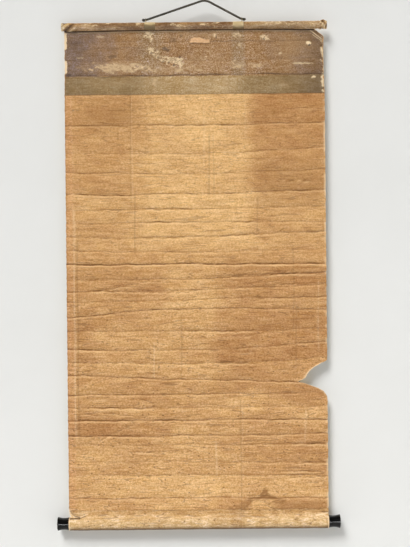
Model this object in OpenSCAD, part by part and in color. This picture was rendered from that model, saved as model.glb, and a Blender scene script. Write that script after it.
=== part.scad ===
// Hanging scroll, shown from its back: a paper and silk sheet between a half-round top stave
// and a round bottom roller, hung by a cord from two eyelets.
// The origin is where the cord bears on its hook. +Z is up, and -Y is the back of the scroll.

/* [Sheet] */
// Width of the sheet
sheet_w = 600; // [400:1:800]
// Height of the sheet from the top of the stave to the top of the roller
sheet_drop = 1140; // [900:1:1500]
// Thickness of the sheet with its lining papers
sheet_t = 0.8; // [0.6:0.1:1.5]
// How far a panel between two folds of strength 1 swells to the back
panel_swell = 1.5; // [0.5:0.1:2.5]

/* [Cover silk] */
// Distance from the top of the stave to the lower edge of the cover silk
cover_drop = 165.5; // [100:0.5:300]
// Thickness of the cover silk
cover_t = 0.4; // [0.3:0.1:0.8]
// How far the shrunken silk draws in each edge of the sheet
cover_shrink = 2.5; // [0:0.5:8]
// Width of the corner lost beside the stave
corner_loss = 24; // [0:1:40]
// Height of the lost corner below the stave
corner_h = 19; // [10:1:30]

/* [Tear] */
// Depth of the tear in from the edge
tear_depth = 69; // [20:1:100]
// Height of the tear above its tip
tear_up = 49; // [20:1:60]
// Height of the tear below its tip
tear_down = 43; // [20:1:60]

/* [Stave] */
// Height of the stave's flat face
stave_h = 14.6; // [10:0.1:20]
// Depth of the stave from its flat face to its round back
stave_d = 9; // [6:0.1:12]
// How far the wrapped stave stands past each edge of the sheet
stave_over = 6; // [2:0.5:20]
// How far the wood ends inside its sleeve
stave_inset = 1; // [0.5:0.5:4]
// Thickness of the silk sleeve round the stave
sleeve_t = 0.8; // [0.5:0.1:1.5]

/* [Roller] */
// Diameter of the wooden roller
roller_d = 28; // [22:0.5:40]
// Thickness of the paper wound round the roller
wrap_t = 1.3; // [0.8:0.1:2]
// Height of the wrap's tab on the back of the sheet
tab_h = 14; // [8:0.5:25]
// Thickness of the tab
tab_t = 0.6; // [0.4:0.1:1]
// How far the wrap ends short of each knob
wrap_inset = 0.5; // [0.2:0.1:3]

/* [Roller knobs] */
// Length of a knob
knob_l = 28; // [20:0.5:40]
// Diameter of a knob at its waist
knob_waist_d = 26.6; // [22:0.2:30]
// Diameter of a knob at its flared end
knob_end_d = 32; // [30.5:0.5:38]
// Distance of the waist from the knob's inner face
knob_waist_at = 11; // [4:0.5:14]
// Height of the dome on a knob's end
knob_dome = 2; // [1:0.2:4]
// Diameter of the roller's end pin in a knob
pin_d = 16; // [10:0.5:20]
// Length of the roller's end pin
pin_l = 15; // [10:0.5:18]

/* [Eyelets and cord] */
// Distance between the two eyelets
eye_span = 221; // [160:1:280]
// Inner diameter of an eyelet's ring
eye_d = 7; // [6.5:0.1:9]
// Thickness of an eyelet's wire
wire_d = 1.5; // [1.2:0.1:2]
// Height of a ring's middle above the stave
eye_rise = 5; // [4.8:0.1:6]
// Thickness of the spike that holds an eyelet
spike_d = 2; // [1.5:0.1:2.5]
// Depth of the spike in the stave
spike_l = 11; // [6:0.5:13]
// Thickness of the hanging cord
cord_d = 5; // [3:0.1:5.5]
// Height of the hook above the stave
hook_rise = 46; // [40:1:60]
// Length of the cord's tail past its eyelet
cord_tail = 9; // [8:0.5:30]
// How far the hook stands to the side of the scroll's middle
hook_shift = 26; // [-30:1:30]
// Thickness of a cord knot
knot_d = 8.4; // [7:0.1:9]
// Length of a cord knot
knot_l = 7; // [5:0.5:8]

/* [Wind bands] */
// Width of a wind band
band_w = 25; // [15:1:30]
// Distance from the middle of an eyelet to the outer edge of the band that it pierces
band_out = 4; // [4:0.5:20]
// Length of a band below the top of the stave
band_l = 375; // [100:1:600]
// Thickness of a band
band_t = 0.5; // [0.3:0.1:0.8]

/* [Fits] */
// Clearance between pasted or laid pieces
paste_gap = 0.1; // [0.05:0.05:0.3]
// Clearance round pins and spikes, on the radius
pin_gap = 0.1; // [0.05:0.05:0.2]

/* [Hidden] */
$fn = 96;
over = 1;

// The stave's section is a circle cut by the flat face
stave_r = (stave_h * stave_h / 4 + stave_d * stave_d) / (2 * stave_d);
sleeve_grow = paste_gap + sleeve_t;
stave_face_y = -sleeve_grow;
stave_mid_y = stave_face_y - stave_d + stave_r;
stave_mid_z = -(stave_r + sleeve_grow);
stave_bottom = 2 * (stave_r + sleeve_grow);
eye_y = stave_face_y - stave_d / 2;
sleeve_l = sheet_w + 2 * stave_over;
band_span = eye_span + 2 * band_out - band_w;
eye_hole_d = spike_d + 2 * wire_d;

roller_y = sheet_t / 2;
roller_z = -(sheet_drop + paste_gap + wrap_t + paste_gap + roller_d / 2);
knob_face = sheet_w / 2 + paste_gap;

// Fold lines as [height at the left, middle and right, strength at the left, middle and right].
// Heights are shares of the area that the fold lies in, measured down.
cover_fold_shares = [
    [0.19, 0.185, 0.19, 0.5, 0.4, 0.5],
    [0.47, 0.48, 0.46, 0.3, 0.3, 0.4],
    [0.705, 0.705, 0.7, 1.3, 1.2, 1.4]
];
sheet_fold_shares = [
    [0.072, 0.074, 0.07, 1.0, 1.0, 1.2],
    [0.138, 0.142, 0.13, 0.3, 0.6, 0.8],
    [0.184, 0.191, 0.181, 1.2, 0.6, 0.8],
    [0.239, 0.239, 0.231, 1.5, 1.0, 1.5],
    [0.277, 0.275, 0.272, 0.4, 0.8, 0.4],
    [0.309, 0.307, 0.309, 0.3, 0.7, 0.6],
    [0.342, 0.342, 0.331, 0.4, 0.9, 1.0],
    [0.373, 0.379, 0.373, 0.9, 0.5, 0.4],
    [0.408, 0.408, 0.411, 2.0, 2.0, 2.0],
    [0.443, 0.443, 0.43, 0.4, 0.8, 1.2],
    [0.472, 0.47, 0.458, 1.0, 0.8, 0.7],
    [0.499, 0.494, 0.489, 0.6, 0.5, 1.5],
    [0.535, 0.515, 0.523, 1.5, 1.2, 0.9],
    [0.566, 0.569, 0.566, 0.4, 0.8, 0.5],
    [0.61, 0.614, 0.597, 1.6, 0.7, 1.2],
    [0.641, 0.647, 0.636, 0.4, 0.8, 0.4],
    [0.673, 0.686, 0.694, 1.3, 1.2, 1.5],
    [0.721, 0.721, 0.721, 1.0, 1.0, 0.5],
    [0.752, 0.754, 0.752, 0.7, 0.5, 0.4],
    [0.784, 0.783, 0.785, 1.6, 1.5, 1.5],
    [0.82, 0.821, 0.819, 1.5, 1.2, 1.2],
    [0.842, 0.843, 0.843, 0.2, 0.4, 1.0],
    [0.882, 0.884, 0.889, 0.3, 0.5, 1.0],
    [0.916, 0.916, 0.921, 0.3, 0.7, 0.5],
    [0.97, 0.971, 0.973, 1.2, 0.7, 1.2]
];
// The tear runs in to the right end of this fold
tear_fold_index = 16;
// Outline of the tear as [height from its tip, depth], both as shares, upper lip first
tear_shape = [
    [-1, 0], [-0.86, 0.23], [-0.67, 0.46], [-0.5, 0.62], [-0.33, 0.68], [-0.16, 0.76], [0, 1],
    [0.05, 0.8], [0.19, 0.56], [0.35, 0.3], [0.51, 0.12], [0.72, 0.03], [1, 0]
];
columns = 14;
// Rows between two folds, as shares of the panel
panel_rows = [0.16, 0.5, 0.84];
// The columns beyond these shares of the width follow the sheet's edges
left_share = 0.1;
right_share = 0.8;

// The cord's bend over the hook as [x, z], in thicknesses of the cord
bend_shape = [[-2, 0.2], [-1.2, 0.42], [-0.4, 0.5], [0.4, 0.44], [1.2, 0.22], [2, -0.12]];
// Rings of the cord's tube, as shares of a tail and of a run from an eyelet to the bend
tail_rings = [1, 0.75, 0.5, 0.25, 0];
run_rings = [0.03, 0.1, 0.2, 0.3, 0.4, 0.5, 0.6, 0.7, 0.8, 0.9];
cord_sides = 8;

// Value at share u of the width, through a left, a middle and a right value
function across(l, m, r, u) =
    l * (1 - u) * (1 - 2 * u) + 4 * m * u * (1 - u) + r * u * (2 * u - 1);
function fold_height(f, u) = across(f[0], f[1], f[2], u);
function fold_strength(f, u) = max(0, across(f[3], f[4], f[5], u));
function level(height, strength) = [height, height, height, strength, strength, strength];
function mix(a, b, t) = a + (b - a) * t;

// The cord's route in its own plane: a level tail, up to the bend, down, and a level tail
eye_z = eye_rise - hook_rise;
left_eye = [-eye_span / 2 - hook_shift, eye_z];
right_eye = [eye_span / 2 - hook_shift, eye_z];
bend = [for (p = bend_shape) p * cord_d];
cord_route = concat(
    [for (t = tail_rings) left_eye - [t * cord_tail, 0]],
    [for (t = run_rings) mix(left_eye, bend[0], t)],
    bend,
    [for (i = [len(run_rings) - 1:-1:0]) mix(right_eye, bend[len(bend) - 1], run_rings[i])],
    [for (t = tail_rings) right_eye + [(1 - t) * cord_tail, 0]]
);

// Depth below the stave's top at the right end of the torn fold
tab_top = sheet_drop - tab_h - paste_gap;
tear_at = mix(cover_drop, tab_top, sheet_fold_shares[tear_fold_index][2]);
function tear_inset(d) =
    tear_depth * lookup((d - tear_at) / (d < tear_at ? tear_up : tear_down), tear_shape);
function cover_inset(d) = d < cover_drop ? cover_shrink * sin(180 * d / cover_drop) : 0;
function corner_inset(d) =
    d < stave_bottom ? 0 : corner_loss * max(0, 1 - (d - stave_bottom) / corner_h);
function edge_left(d) = -sheet_w / 2 + cover_inset(d);
function edge_right(d) = sheet_w / 2 - max(cover_inset(d), corner_inset(d)) - tear_inset(d);

// Place across the sheet at share u of its width and depth d, drawn in near the edges
function plain_x(u) = sheet_w * (u - 0.5);
function sheet_x(u, d) =
    u < left_share ? mix(edge_left(d), plain_x(left_share), u / left_share)
    : u > right_share ? mix(plain_x(right_share), edge_right(d), (u - right_share) / (1 - right_share))
    : plain_x(u);

// One row of points on a panel from depth d0 to d1, at share f of its height
function panel_row(d0, d1, above, below, f) = [
    for (k = [0:columns])
        let (u = k / columns)
        let (h0 = fold_height(above, u), h1 = fold_height(below, u))
        let (d = mix(d0, d1, mix(h0, h1, f)))
        let (strength = (fold_strength(above, u) + fold_strength(below, u)) / 2)
        [sheet_x(u, d), -panel_swell * strength * (1 - pow(abs(2 * f - 1), 3)), -d]
];
// Rows from the first fold down to the last one, the last fold's own row left out
function panel_rows_of(d0, d1, folds) = [
    for (i = [0:len(folds) - 2])
        for (f = concat([0], panel_rows))
            panel_row(d0, d1, folds[i], folds[i + 1], f)
];
function flat_row(d) = panel_row(d, d, level(0, 0), level(0, 0), 0);
cover_lines = concat([level(0, 0)], cover_fold_shares, [level(1, 0.4)]);
sheet_lines = concat([level(0, 0.4)], sheet_fold_shares, [level(1, 0.5)]);
cover_rows = panel_rows_of(stave_bottom + paste_gap, cover_drop, cover_lines);
lower_rows = panel_rows_of(cover_drop, tab_top, sheet_lines);
sheet_rows = concat(
    [flat_row(paste_gap + sleeve_t)], cover_rows, lower_rows, [flat_row(tab_top)],
    [flat_row(sheet_drop)]
);

function shifted(rows, y) = [for (row = rows) [for (p = row) p + [0, y, 0]]];
function quad(a, b, c, d) = [[a, b, c], [a, c, d]];

// Closed skin between a near and a far surface, both given as rows of points
module skin(near, far) {
    n = len(near[0]);
    m = len(near);
    back = n * m;
    function at(r, c) = r * n + c;
    faces = [
        for (r = [0:m - 2], c = [0:n - 2])
            each quad(at(r, c), at(r, c + 1), at(r + 1, c + 1), at(r + 1, c)),
        for (r = [0:m - 2], c = [0:n - 2])
            each [
                [back + at(r, c), back + at(r + 1, c + 1), back + at(r, c + 1)],
                [back + at(r, c), back + at(r + 1, c), back + at(r + 1, c + 1)]
            ],
        for (c = [0:n - 2])
            each quad(at(0, c), back + at(0, c), back + at(0, c + 1), at(0, c + 1)),
        for (c = [0:n - 2])
            each quad(at(m - 1, c), at(m - 1, c + 1), back + at(m - 1, c + 1), back + at(m - 1, c)),
        for (r = [0:m - 2])
            each quad(back + at(r, 0), at(r, 0), at(r + 1, 0), back + at(r + 1, 0)),
        for (r = [0:m - 2])
            each quad(at(r, n - 1), back + at(r, n - 1), back + at(r + 1, n - 1), at(r + 1, n - 1))
    ];
    polyhedron([for (row = near) each row, for (row = far) each row], faces, 10);
}

// Tube along a route of [x, z] points, with rings square to the route
module tube(route, d, sides) {
    last = len(route) - 1;
    function step(i) = route[min(i + 1, last)] - route[max(i - 1, 0)];
    points = [
        for (i = [0:last])
            let (t = step(i) / norm(step(i)))
            for (k = [0:sides - 1])
                let (a = 360 * k / sides)
                let (side = d / 2 * cos(a), up = d / 2 * sin(a))
                [route[i][0] - up * t[1], side, route[i][1] + up * t[0]]
    ];
    walls = [
        for (i = [0:last - 1], k = [0:sides - 1])
            let (j = (k + 1) % sides)
            each quad(i * sides + k, i * sides + j, (i + 1) * sides + j, (i + 1) * sides + k)
    ];
    ends = [[for (k = [sides - 1:-1:0]) k], [for (k = [0:sides - 1]) last * sides + k]];
    polyhedron(points, concat(walls, ends), 10);
}

// Moves the scroll from its own frame, with the stave's top at the middle, to hang below the hook
module hung() {
    translate([-hook_shift, -eye_y, -hook_rise]) children();
}

// Extrudes a section drawn in the Y and Z plane along X, about the middle
module along_x(length) {
    rotate([90, 0, 90]) linear_extrude(length, center = true) children();
}

// The stave's half-round section, grown by a margin
module stave_section(grow) {
    intersection() {
        translate([stave_mid_y, stave_mid_z]) circle(stave_r + grow);
        translate([stave_face_y + grow - 4 * stave_r, stave_mid_z - 2 * stave_r])
            square(4 * stave_r);
    }
}

// Two places at the given distance from the middle
module at_both(span) {
    for (side = [-1, 1]) translate([side * span / 2, eye_y, 0]) children();
}

module sheet() {
    color("#d7ac74") hung() skin(sheet_rows, shifted(sheet_rows, sheet_t));
}

module cover_silk() {
    rows = concat(cover_rows, [lower_rows[0]]);
    color("#8f7059") hung() skin(shifted(rows, -cover_t), rows);
}

module stave() {
    color("#a9825a") hung() difference() {
        along_x(sleeve_l - 2 * stave_inset) stave_section(0);
        at_both(eye_span)
            translate([0, 0, -spike_l - pin_gap]) cylinder(spike_l + over, r = spike_d / 2 + pin_gap);
    }
}

module stave_sleeve() {
    color("#997454") hung() difference() {
        along_x(sleeve_l) difference() {
            stave_section(sleeve_grow);
            stave_section(paste_gap);
        }
        at_both(eye_span) translate([0, 0, -stave_r / 2]) cylinder(stave_r, d = eye_hole_d);
    }
}

module eyelet(side) {
    ring_r = (eye_d + wire_d) / 2;
    color("#b3a98c") hung() translate([side * eye_span / 2, eye_y, 0]) {
        translate([0, 0, eye_rise]) rotate([0, 90, 0]) rotate_extrude()
            translate([ring_r, 0]) circle(d = wire_d, $fn = 32);
        translate([0, 0, -spike_l]) cylinder(spike_l + eye_rise - eye_d / 2 - wire_d / 2, d = spike_d);
    }
}

module eyelet_left() {
    eyelet(-1);
}

module eyelet_right() {
    eyelet(1);
}

module hanging_cord() {
    color("#3a352c") tube(cord_route, cord_d, cord_sides);
}

// A knot of cord outside its eyelet, as a bead round the cord
module cord_knot(side) {
    bore_r = cord_d / 2 + 3 * pin_gap;
    start = (eye_span + wire_d) / 2 + 3 * paste_gap;
    color("#332e26") hung() translate([side * (start + knot_l / 2), eye_y, eye_rise])
        rotate([0, 90, 0]) rotate_extrude() intersection() {
            translate([bore_r, -knot_l / 2]) square([knot_d / 2 - bore_r, knot_l]);
            circle(norm([bore_r + paste_gap, knot_l / 2]));
        }
}

module cord_knot_left() {
    cord_knot(-1);
}

module cord_knot_right() {
    cord_knot(1);
}

module roller() {
    color("#a37a4e") hung() translate([0, roller_y, roller_z]) rotate([0, 90, 0]) {
        cylinder(sheet_w, d = roller_d, center = true);
        cylinder(sheet_w + 2 * pin_l, d = pin_d, center = true);
    }
}

module roller_wrap() {
    outer_r = roller_d / 2 + paste_gap + wrap_t;
    color("#e2bf8f") hung() along_x(sheet_w - 2 * wrap_inset) difference() {
        union() {
            translate([roller_y, roller_z]) circle(outer_r);
            translate([-tab_t, -sheet_drop - wrap_t / 2]) square([tab_t, tab_h + wrap_t / 2]);
        }
        translate([roller_y, roller_z]) circle(roller_d / 2 + paste_gap);
    }
}

// A turned end knob: a waisted outline with a domed, flared end and a blind hole for the pin
module knob(side) {
    flare = (knob_end_d - knob_waist_d) / 2;
    run = knob_l - knob_dome - knob_waist_at;
    waist_r = (run * run + flare * flare) / (2 * flare);
    dome_r = (knob_end_d * knob_end_d / 4 + knob_dome * knob_dome) / (2 * knob_dome);
    color("#151412") hung() translate([side * knob_face, roller_y, roller_z])
        rotate([0, side * 90, 0]) rotate_extrude() difference() {
            intersection() {
                square([knob_end_d / 2, knob_l]);
                translate([0, knob_l - dome_r]) circle(dome_r, $fn = 200);
            }
            translate([knob_waist_d / 2 + waist_r, knob_waist_at]) circle(waist_r, $fn = 200);
            translate([-over, -over]) square([pin_d / 2 + pin_gap + over, pin_l + over + pin_gap]);
        }
}

module knob_left() {
    knob(-1);
}

module knob_right() {
    knob(1);
}

// A wind band: sewn round the stave's back, laid over its top and hanging down the front
module wind_band(side) {
    inner = sleeve_grow + paste_gap;
    front_y = sheet_t + paste_gap;
    lap_z = stave_mid_z + sqrt(pow(stave_r + inner, 2) - pow(stave_mid_y, 2));
    color("#c9b184") hung() difference() {
        translate([side * band_span / 2, 0, 0]) along_x(band_w) {
            intersection() {
                difference() {
                    stave_section(inner + band_t);
                    stave_section(inner);
                }
                translate([-4 * stave_r, stave_mid_z - stave_r]) square([4 * stave_r, 4 * stave_r]);
            }
            translate([-paste_gap, lap_z]) square([front_y + paste_gap + band_t, band_t]);
            translate([front_y, -band_l]) square([band_t, band_l + lap_z + band_t]);
        }
        translate([side * eye_span / 2, eye_y, -stave_r / 2]) cylinder(stave_r, d = eye_hole_d);
    }
}

module wind_band_left() {
    wind_band(-1);
}

module wind_band_right() {
    wind_band(1);
}

sheet();
cover_silk();
stave();
stave_sleeve();
roller();
roller_wrap();
knob_left();
knob_right();
eyelet_left();
eyelet_right();
hanging_cord();
cord_knot_left();
cord_knot_right();
wind_band_left();
wind_band_right();
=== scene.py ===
# %% [markdown]
# # An old hanging scroll, seen from its back
# A hanging scroll is a painting on paper or silk, pasted into a mount of silk strips and lined
# with paper, so that it can be rolled up. A half-round stave stiffens its top, a round roller
# weighs down its foot, and a cord hangs it from two eyelets. This lesson dresses the solids of
# such a scroll: each piece is a surface worked out with numpy and laid where its solid is.

# %% Load the solids
import math

import bpy
import numpy as np
from mathutils import Matrix, Vector


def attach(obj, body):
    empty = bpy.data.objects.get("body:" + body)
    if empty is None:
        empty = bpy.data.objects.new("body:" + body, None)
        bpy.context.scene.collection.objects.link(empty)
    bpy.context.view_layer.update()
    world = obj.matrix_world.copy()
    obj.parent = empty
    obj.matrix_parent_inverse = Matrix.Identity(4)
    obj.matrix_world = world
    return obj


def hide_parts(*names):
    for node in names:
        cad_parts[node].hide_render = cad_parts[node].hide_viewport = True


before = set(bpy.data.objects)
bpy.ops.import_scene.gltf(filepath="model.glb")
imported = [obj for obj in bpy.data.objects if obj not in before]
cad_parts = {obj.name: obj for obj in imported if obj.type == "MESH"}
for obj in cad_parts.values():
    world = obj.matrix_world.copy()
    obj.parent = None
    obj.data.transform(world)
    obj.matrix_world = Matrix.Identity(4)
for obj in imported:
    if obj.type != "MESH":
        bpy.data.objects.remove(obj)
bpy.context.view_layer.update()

print("solids:", ", ".join(sorted(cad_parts)))

# %% [markdown]
# ## One frame for all the pieces
# The shared frame starts where the cord bears on its hook. A maker would measure a scroll from
# its own middle and from the top of its stave, so the pieces are worked out in those millimetres
# and one function carries them over.

# %% The scroll's own millimetres
MM = 0.001
HOOK_SHIFT = 26.0
HOOK_RISE = 46.0
EYE_Y = -5.4


def hang(x, y, depth):
    """Shared place in metres of a point x from the middle, y in front of the lining's creases
    and depth below the top of the stave, in millimetres: a shift, and z counted upwards."""
    parts = np.broadcast_arrays(x - HOOK_SHIFT, y - EYE_Y, -HOOK_RISE - depth)
    return np.stack(parts, -1).astype(float) * MM


def smooth(low, high, value):
    """0 below low, 1 above high, and 3t^2 - 2t^3 of the share t between them."""
    t = np.clip((value - low) / (high - low), 0, 1)
    return t * t * (3 - 2 * t)


def span(value, low, high, blur):
    """1 between two limits and 0 outside them, with ends that fade over twice the blur."""
    return smooth(low - blur, low + blur, value) * (1 - smooth(high - blur, high + blur, value))


def soft_box(x, d, x0, x1, d0, d1, blur):
    """1 inside the box and 0 outside it, with edges that fade over twice the blur."""
    return span(x, x0, x1, blur) * span(d, d0, d1, blur)


def turns(count):
    """Evenly spaced angles, once round."""
    return np.linspace(0, 2 * np.pi, count, endpoint=False)


def unit(v):
    """Vectors of length 1 that point the same way."""
    return v / np.linalg.norm(v, axis=-1, keepdims=True)


def along_path(path):
    """Distance of every point of a path from its start, measured along the path."""
    return np.concatenate([[0], np.cumsum(np.linalg.norm(np.diff(path, axis=0), axis=1))])


def waves(seed, count, across_mm, down_mm):
    """A field of x and d: the sum of seeded sines whose wavelengths lie in the two ranges,
    scaled so that it mostly stays between -1 and 1."""
    rng = np.random.default_rng(seed)
    kx = 2 * np.pi / rng.uniform(*across_mm, count) * rng.choice([-1, 1], count)
    kd = 2 * np.pi / rng.uniform(*down_mm, count)
    phase = rng.uniform(0, 2 * np.pi, count)

    def field(x, d):
        """The field's value at places x across and depths d."""
        return sum(np.sin(a * x + b * d + c) for a, b, c in zip(kx, kd, phase)) / count ** 0.5

    return field


print("top of the stave lies at z =", hang(0, 0, 0)[2])

# %% [markdown]
# ## The camera
# The picture was taken from straight behind the scroll, level with its middle and turned by half
# a degree. The camera is placed from what its picture covers: about 1.26 m of the sheet's plane
# from top to bottom.

# %% Camera
VIEW_HEIGHT = 1.2636
DISTANCE = 2.6
PITCH = math.radians(0.3)
ROLL = math.radians(-0.58)
AIM = Vector((-0.0063, 0.0054, -0.6258))

camera_data = bpy.data.cameras.new("camera")
camera_data.sensor_fit = "VERTICAL"
camera_data.sensor_height = 24.0
camera_data.lens = 24.0 * DISTANCE / VIEW_HEIGHT
camera = bpy.data.objects.new("camera", camera_data)
bpy.context.scene.collection.objects.link(camera)
look = Vector((0, math.cos(PITCH), -math.sin(PITCH)))
right = Vector((1, 0, 0))
up = Vector((0, math.sin(PITCH), math.cos(PITCH)))
side = right * math.cos(ROLL) + up * math.sin(ROLL)
top = up * math.cos(ROLL) - right * math.sin(ROLL)
turn = Matrix((side, top, -look)).transposed().to_4x4()
camera.matrix_world = Matrix.Translation(AIM - look * DISTANCE) @ turn
bpy.context.scene.camera = camera
print(f"camera lens {camera_data.lens:.1f} mm at {DISTANCE} m")

# %% [markdown]
# ## Meshes from grids
# Every new piece is a grid of points, or a few grids put together. The helpers below turn rows
# and columns into faces and put whole arrays into a mesh at once, which is quick, and leaves
# no loop over points.

# %% Grid and mesh helpers


def grid_faces(rows, cols, start=0, wrap_rows=False, wrap_cols=False, flip=False):
    """Four-cornered faces between neighbouring points of a grid that is stored row by row."""
    r = np.arange(rows if wrap_rows else rows - 1)[:, None]
    c = np.arange(cols if wrap_cols else cols - 1)[None, :]
    r2, c2 = (r + 1) % rows, (c + 1) % cols
    corners = (r * cols + c, r * cols + c2, r2 * cols + c2, r2 * cols + c)
    quads = np.stack(np.broadcast_arrays(*corners), -1).reshape(-1, 4) + start
    return quads[:, ::-1] if flip else quads


def piece(name, points, face_sets, slots=None, uv=None, marks=None, sharp=60):
    """An object at the origin from points in metres and arrays of faces. slots gives each face
    set's material slot, uv and marks give each point's texture place and named values."""
    mesh = bpy.data.meshes.new(name)
    points = np.ascontiguousarray(points, dtype=np.float32).reshape(-1, 3)
    mesh.vertices.add(len(points))
    mesh.vertices.foreach_set("co", points.ravel())
    corners = np.concatenate([f.ravel() for f in face_sets]).astype(np.int32)
    sizes = np.concatenate([np.full(len(f), f.shape[1]) for f in face_sets])
    mesh.loops.add(len(corners))
    mesh.loops.foreach_set("vertex_index", corners)
    mesh.polygons.add(len(sizes))
    starts = np.concatenate([[0], np.cumsum(sizes)[:-1]]).astype(np.int32)
    mesh.polygons.foreach_set("loop_start", starts)
    mesh.update(calc_edges=True)
    mesh.polygons.foreach_set("use_smooth", np.ones(len(sizes), dtype=bool))
    if slots is not None:
        owner = np.concatenate([np.full(len(f), s) for f, s in zip(face_sets, slots)])
        mesh.polygons.foreach_set("material_index", owner.astype(np.int32))
    if uv is not None:
        layer = mesh.uv_layers.new(name="cloth")
        layer.data.foreach_set("uv", np.asarray(uv, np.float32)[corners].ravel())
    for mark, values in (marks or {}).items():
        layer = mesh.attributes.new(mark, "FLOAT", "POINT")
        layer.data.foreach_set("value", np.asarray(values, np.float32).ravel())
    mesh.set_sharp_from_angle(angle=math.radians(sharp))
    mesh.validate()
    obj = bpy.data.objects.new(name, mesh)
    bpy.context.scene.collection.objects.link(obj)
    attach(obj, "root")
    print(f"{name}: {len(points)} points, {int((sizes - 2).sum())} triangles")
    return obj


def ring_points(path, side_way, up_way, radius, sides):
    """Rings round a path: centre + r(cos a * side + sin a * up). radius may be a number or an
    array of ring by side."""
    a = turns(sides)[:, None]
    r = np.broadcast_to(np.asarray(radius, float), (len(path), sides))[..., None]
    return path[:, None] + r * (np.cos(a) * side_way[:, None] + np.sin(a) * up_way[:, None])


def tube_points(path, radius, sides, across=(0, 1, 0)):
    """Rings round a path, where up is square to the path and to one steady side direction."""
    along = unit(np.gradient(path, axis=0))
    up_way = unit(np.cross(along, np.broadcast_to(np.array(across, float), along.shape)))
    return ring_points(path, np.cross(up_way, along), up_way, radius, sides)


def end_caps(rings, sides, start=0):
    """The two many-cornered faces that close the ends of a tube."""
    first = np.arange(sides)[None, :] + start
    last = (rings - 1) * sides + np.arange(sides)[None, ::-1] + start
    return [first, last]


# %% [markdown]
# ## The hanging cord
# The cord is braided silk, tied off at each eyelet with its tail pushed through. It runs
# straight to the hook and bends over it. A curve with a round bevel would be quick, but a grid
# round the path can carry the braid itself: two families of strands wind round in opposite
# directions, and where one lies on top, the surface stands a little higher.

# %% Cord route and braid
EYE_SPAN, EYE_RISE, CORD_D, CORD_TAIL = 221.0, 5.0, 5.0, 9.0
left_eye = np.array([-EYE_SPAN / 2 - HOOK_SHIFT, EYE_RISE - HOOK_RISE])
right_eye = np.array([EYE_SPAN / 2 - HOOK_SHIFT, EYE_RISE - HOOK_RISE])
BEND = np.array([(-2, 0.2), (-1.2, 0.42), (-0.4, 0.5), (0.4, 0.44), (1.2, 0.22), (2, -0.12)])
tail = np.array([CORD_TAIL, 0])
corners_xz = np.concatenate([[left_eye - tail, left_eye], BEND * CORD_D, [right_eye, right_eye + tail]])
reach = along_path(corners_xz)
RINGS, SIDES = 520, 20
at = np.linspace(0, reach[-1], RINGS)
route = np.stack([np.interp(at, reach, corners_xz[:, k]) for k in (0, 1)], -1)
WINDOW = 17  # averaging over so many points, about 8 mm, rounds the corners at the eyelets
padded = np.pad(route, ((WINDOW // 2, WINDOW // 2), (0, 0)), mode="reflect", reflect_type="odd")
route = np.stack([np.convolve(padded[:, k], np.ones(WINDOW) / WINDOW, "valid") for k in (0, 1)], -1)
cord_path = np.stack([route[:, 0], np.zeros(RINGS), route[:, 1]], -1) * MM
BRAID_PITCH, STRANDS = 9.0, 4
angle = turns(SIDES)[None, :]
climb = 2 * np.pi * at[:, None] / BRAID_PITCH * STRANDS / 2
over = np.maximum(np.cos(STRANDS * angle + climb), np.cos(STRANDS * angle - climb))
taper = np.minimum(1, np.minimum(at, reach[-1] - at) / 1.5 * 0.4 + 0.6)[:, None]
braid = (CORD_D / 2 * (0.95 + 0.08 * over) * taper) * MM
cord_points = tube_points(cord_path, braid, SIDES)
cord_uv = np.stack(np.broadcast_arrays(at[:, None] * MM, angle * CORD_D / 2 * MM), -1).reshape(-1, 2)
cord = piece(
    "braided_cord", cord_points,
    [grid_faces(RINGS, SIDES, wrap_cols=True)] + end_caps(RINGS, SIDES),
    uv=cord_uv, marks={"over": over},
)

# %% [markdown]
# ## Knots and eyelets
# Each end of the cord is tied off beside a wire eyelet that is spiked into the stave. A knot is
# a tube along a closed curve that winds through itself: the trefoil curve
# (sin t + 2 sin 2t, cos t - 2 cos 2t, -sin 3t), squeezed to the size of the knot's solid.

# %% Knots and eyelets
KNOT_D, KNOT_L, WIRE_D, EYE_D = 8.4, 7.0, 1.5, 7.0
KNOT_STEPS, KNOT_SIDES, STRAND_R = 90, 10, 1.4
EYE_STEPS, EYE_SIDES = 48, 14


def knot(name, node_name, way):
    """A trefoil tube whose axis lies along the cord, in the space of its solid."""
    t, a = turns(KNOT_STEPS), turns(KNOT_SIDES)
    flat_r = (KNOT_D / 2 - 0.5 - STRAND_R) / 3
    curve = np.stack([
        -np.sin(3 * t) * (KNOT_L / 2 - STRAND_R),
        (np.sin(t) + 2 * np.sin(2 * t)) * flat_r,
        (np.cos(t) - 2 * np.cos(2 * t)) * flat_r,
    ], -1)
    along = unit(np.roll(curve, -1, 0) - np.roll(curve, 1, 0))
    side_way = unit(np.cross(along, curve))
    local = ring_points(curve, side_way, np.cross(side_way, along), STRAND_R, KNOT_SIDES).reshape(-1, 3)
    middle_x = way * ((EYE_SPAN + WIRE_D) / 2 + 0.3 + KNOT_L / 2)
    points = hang(middle_x + local[:, 0], EYE_Y + local[:, 1], -EYE_RISE - local[:, 2])
    uv = np.stack(np.broadcast_arrays(t[:, None] * 0.006, a[None, :] * 0.0015), -1).reshape(-1, 2)
    over_mark = np.cos(8 * t[:, None] + 2 * a[None, :])
    faces = [grid_faces(KNOT_STEPS, KNOT_SIDES, wrap_rows=True, wrap_cols=True, flip=True)]
    obj = piece(name, points, faces, uv=uv, marks={"over": over_mark})
    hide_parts(node_name)
    return obj


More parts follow.
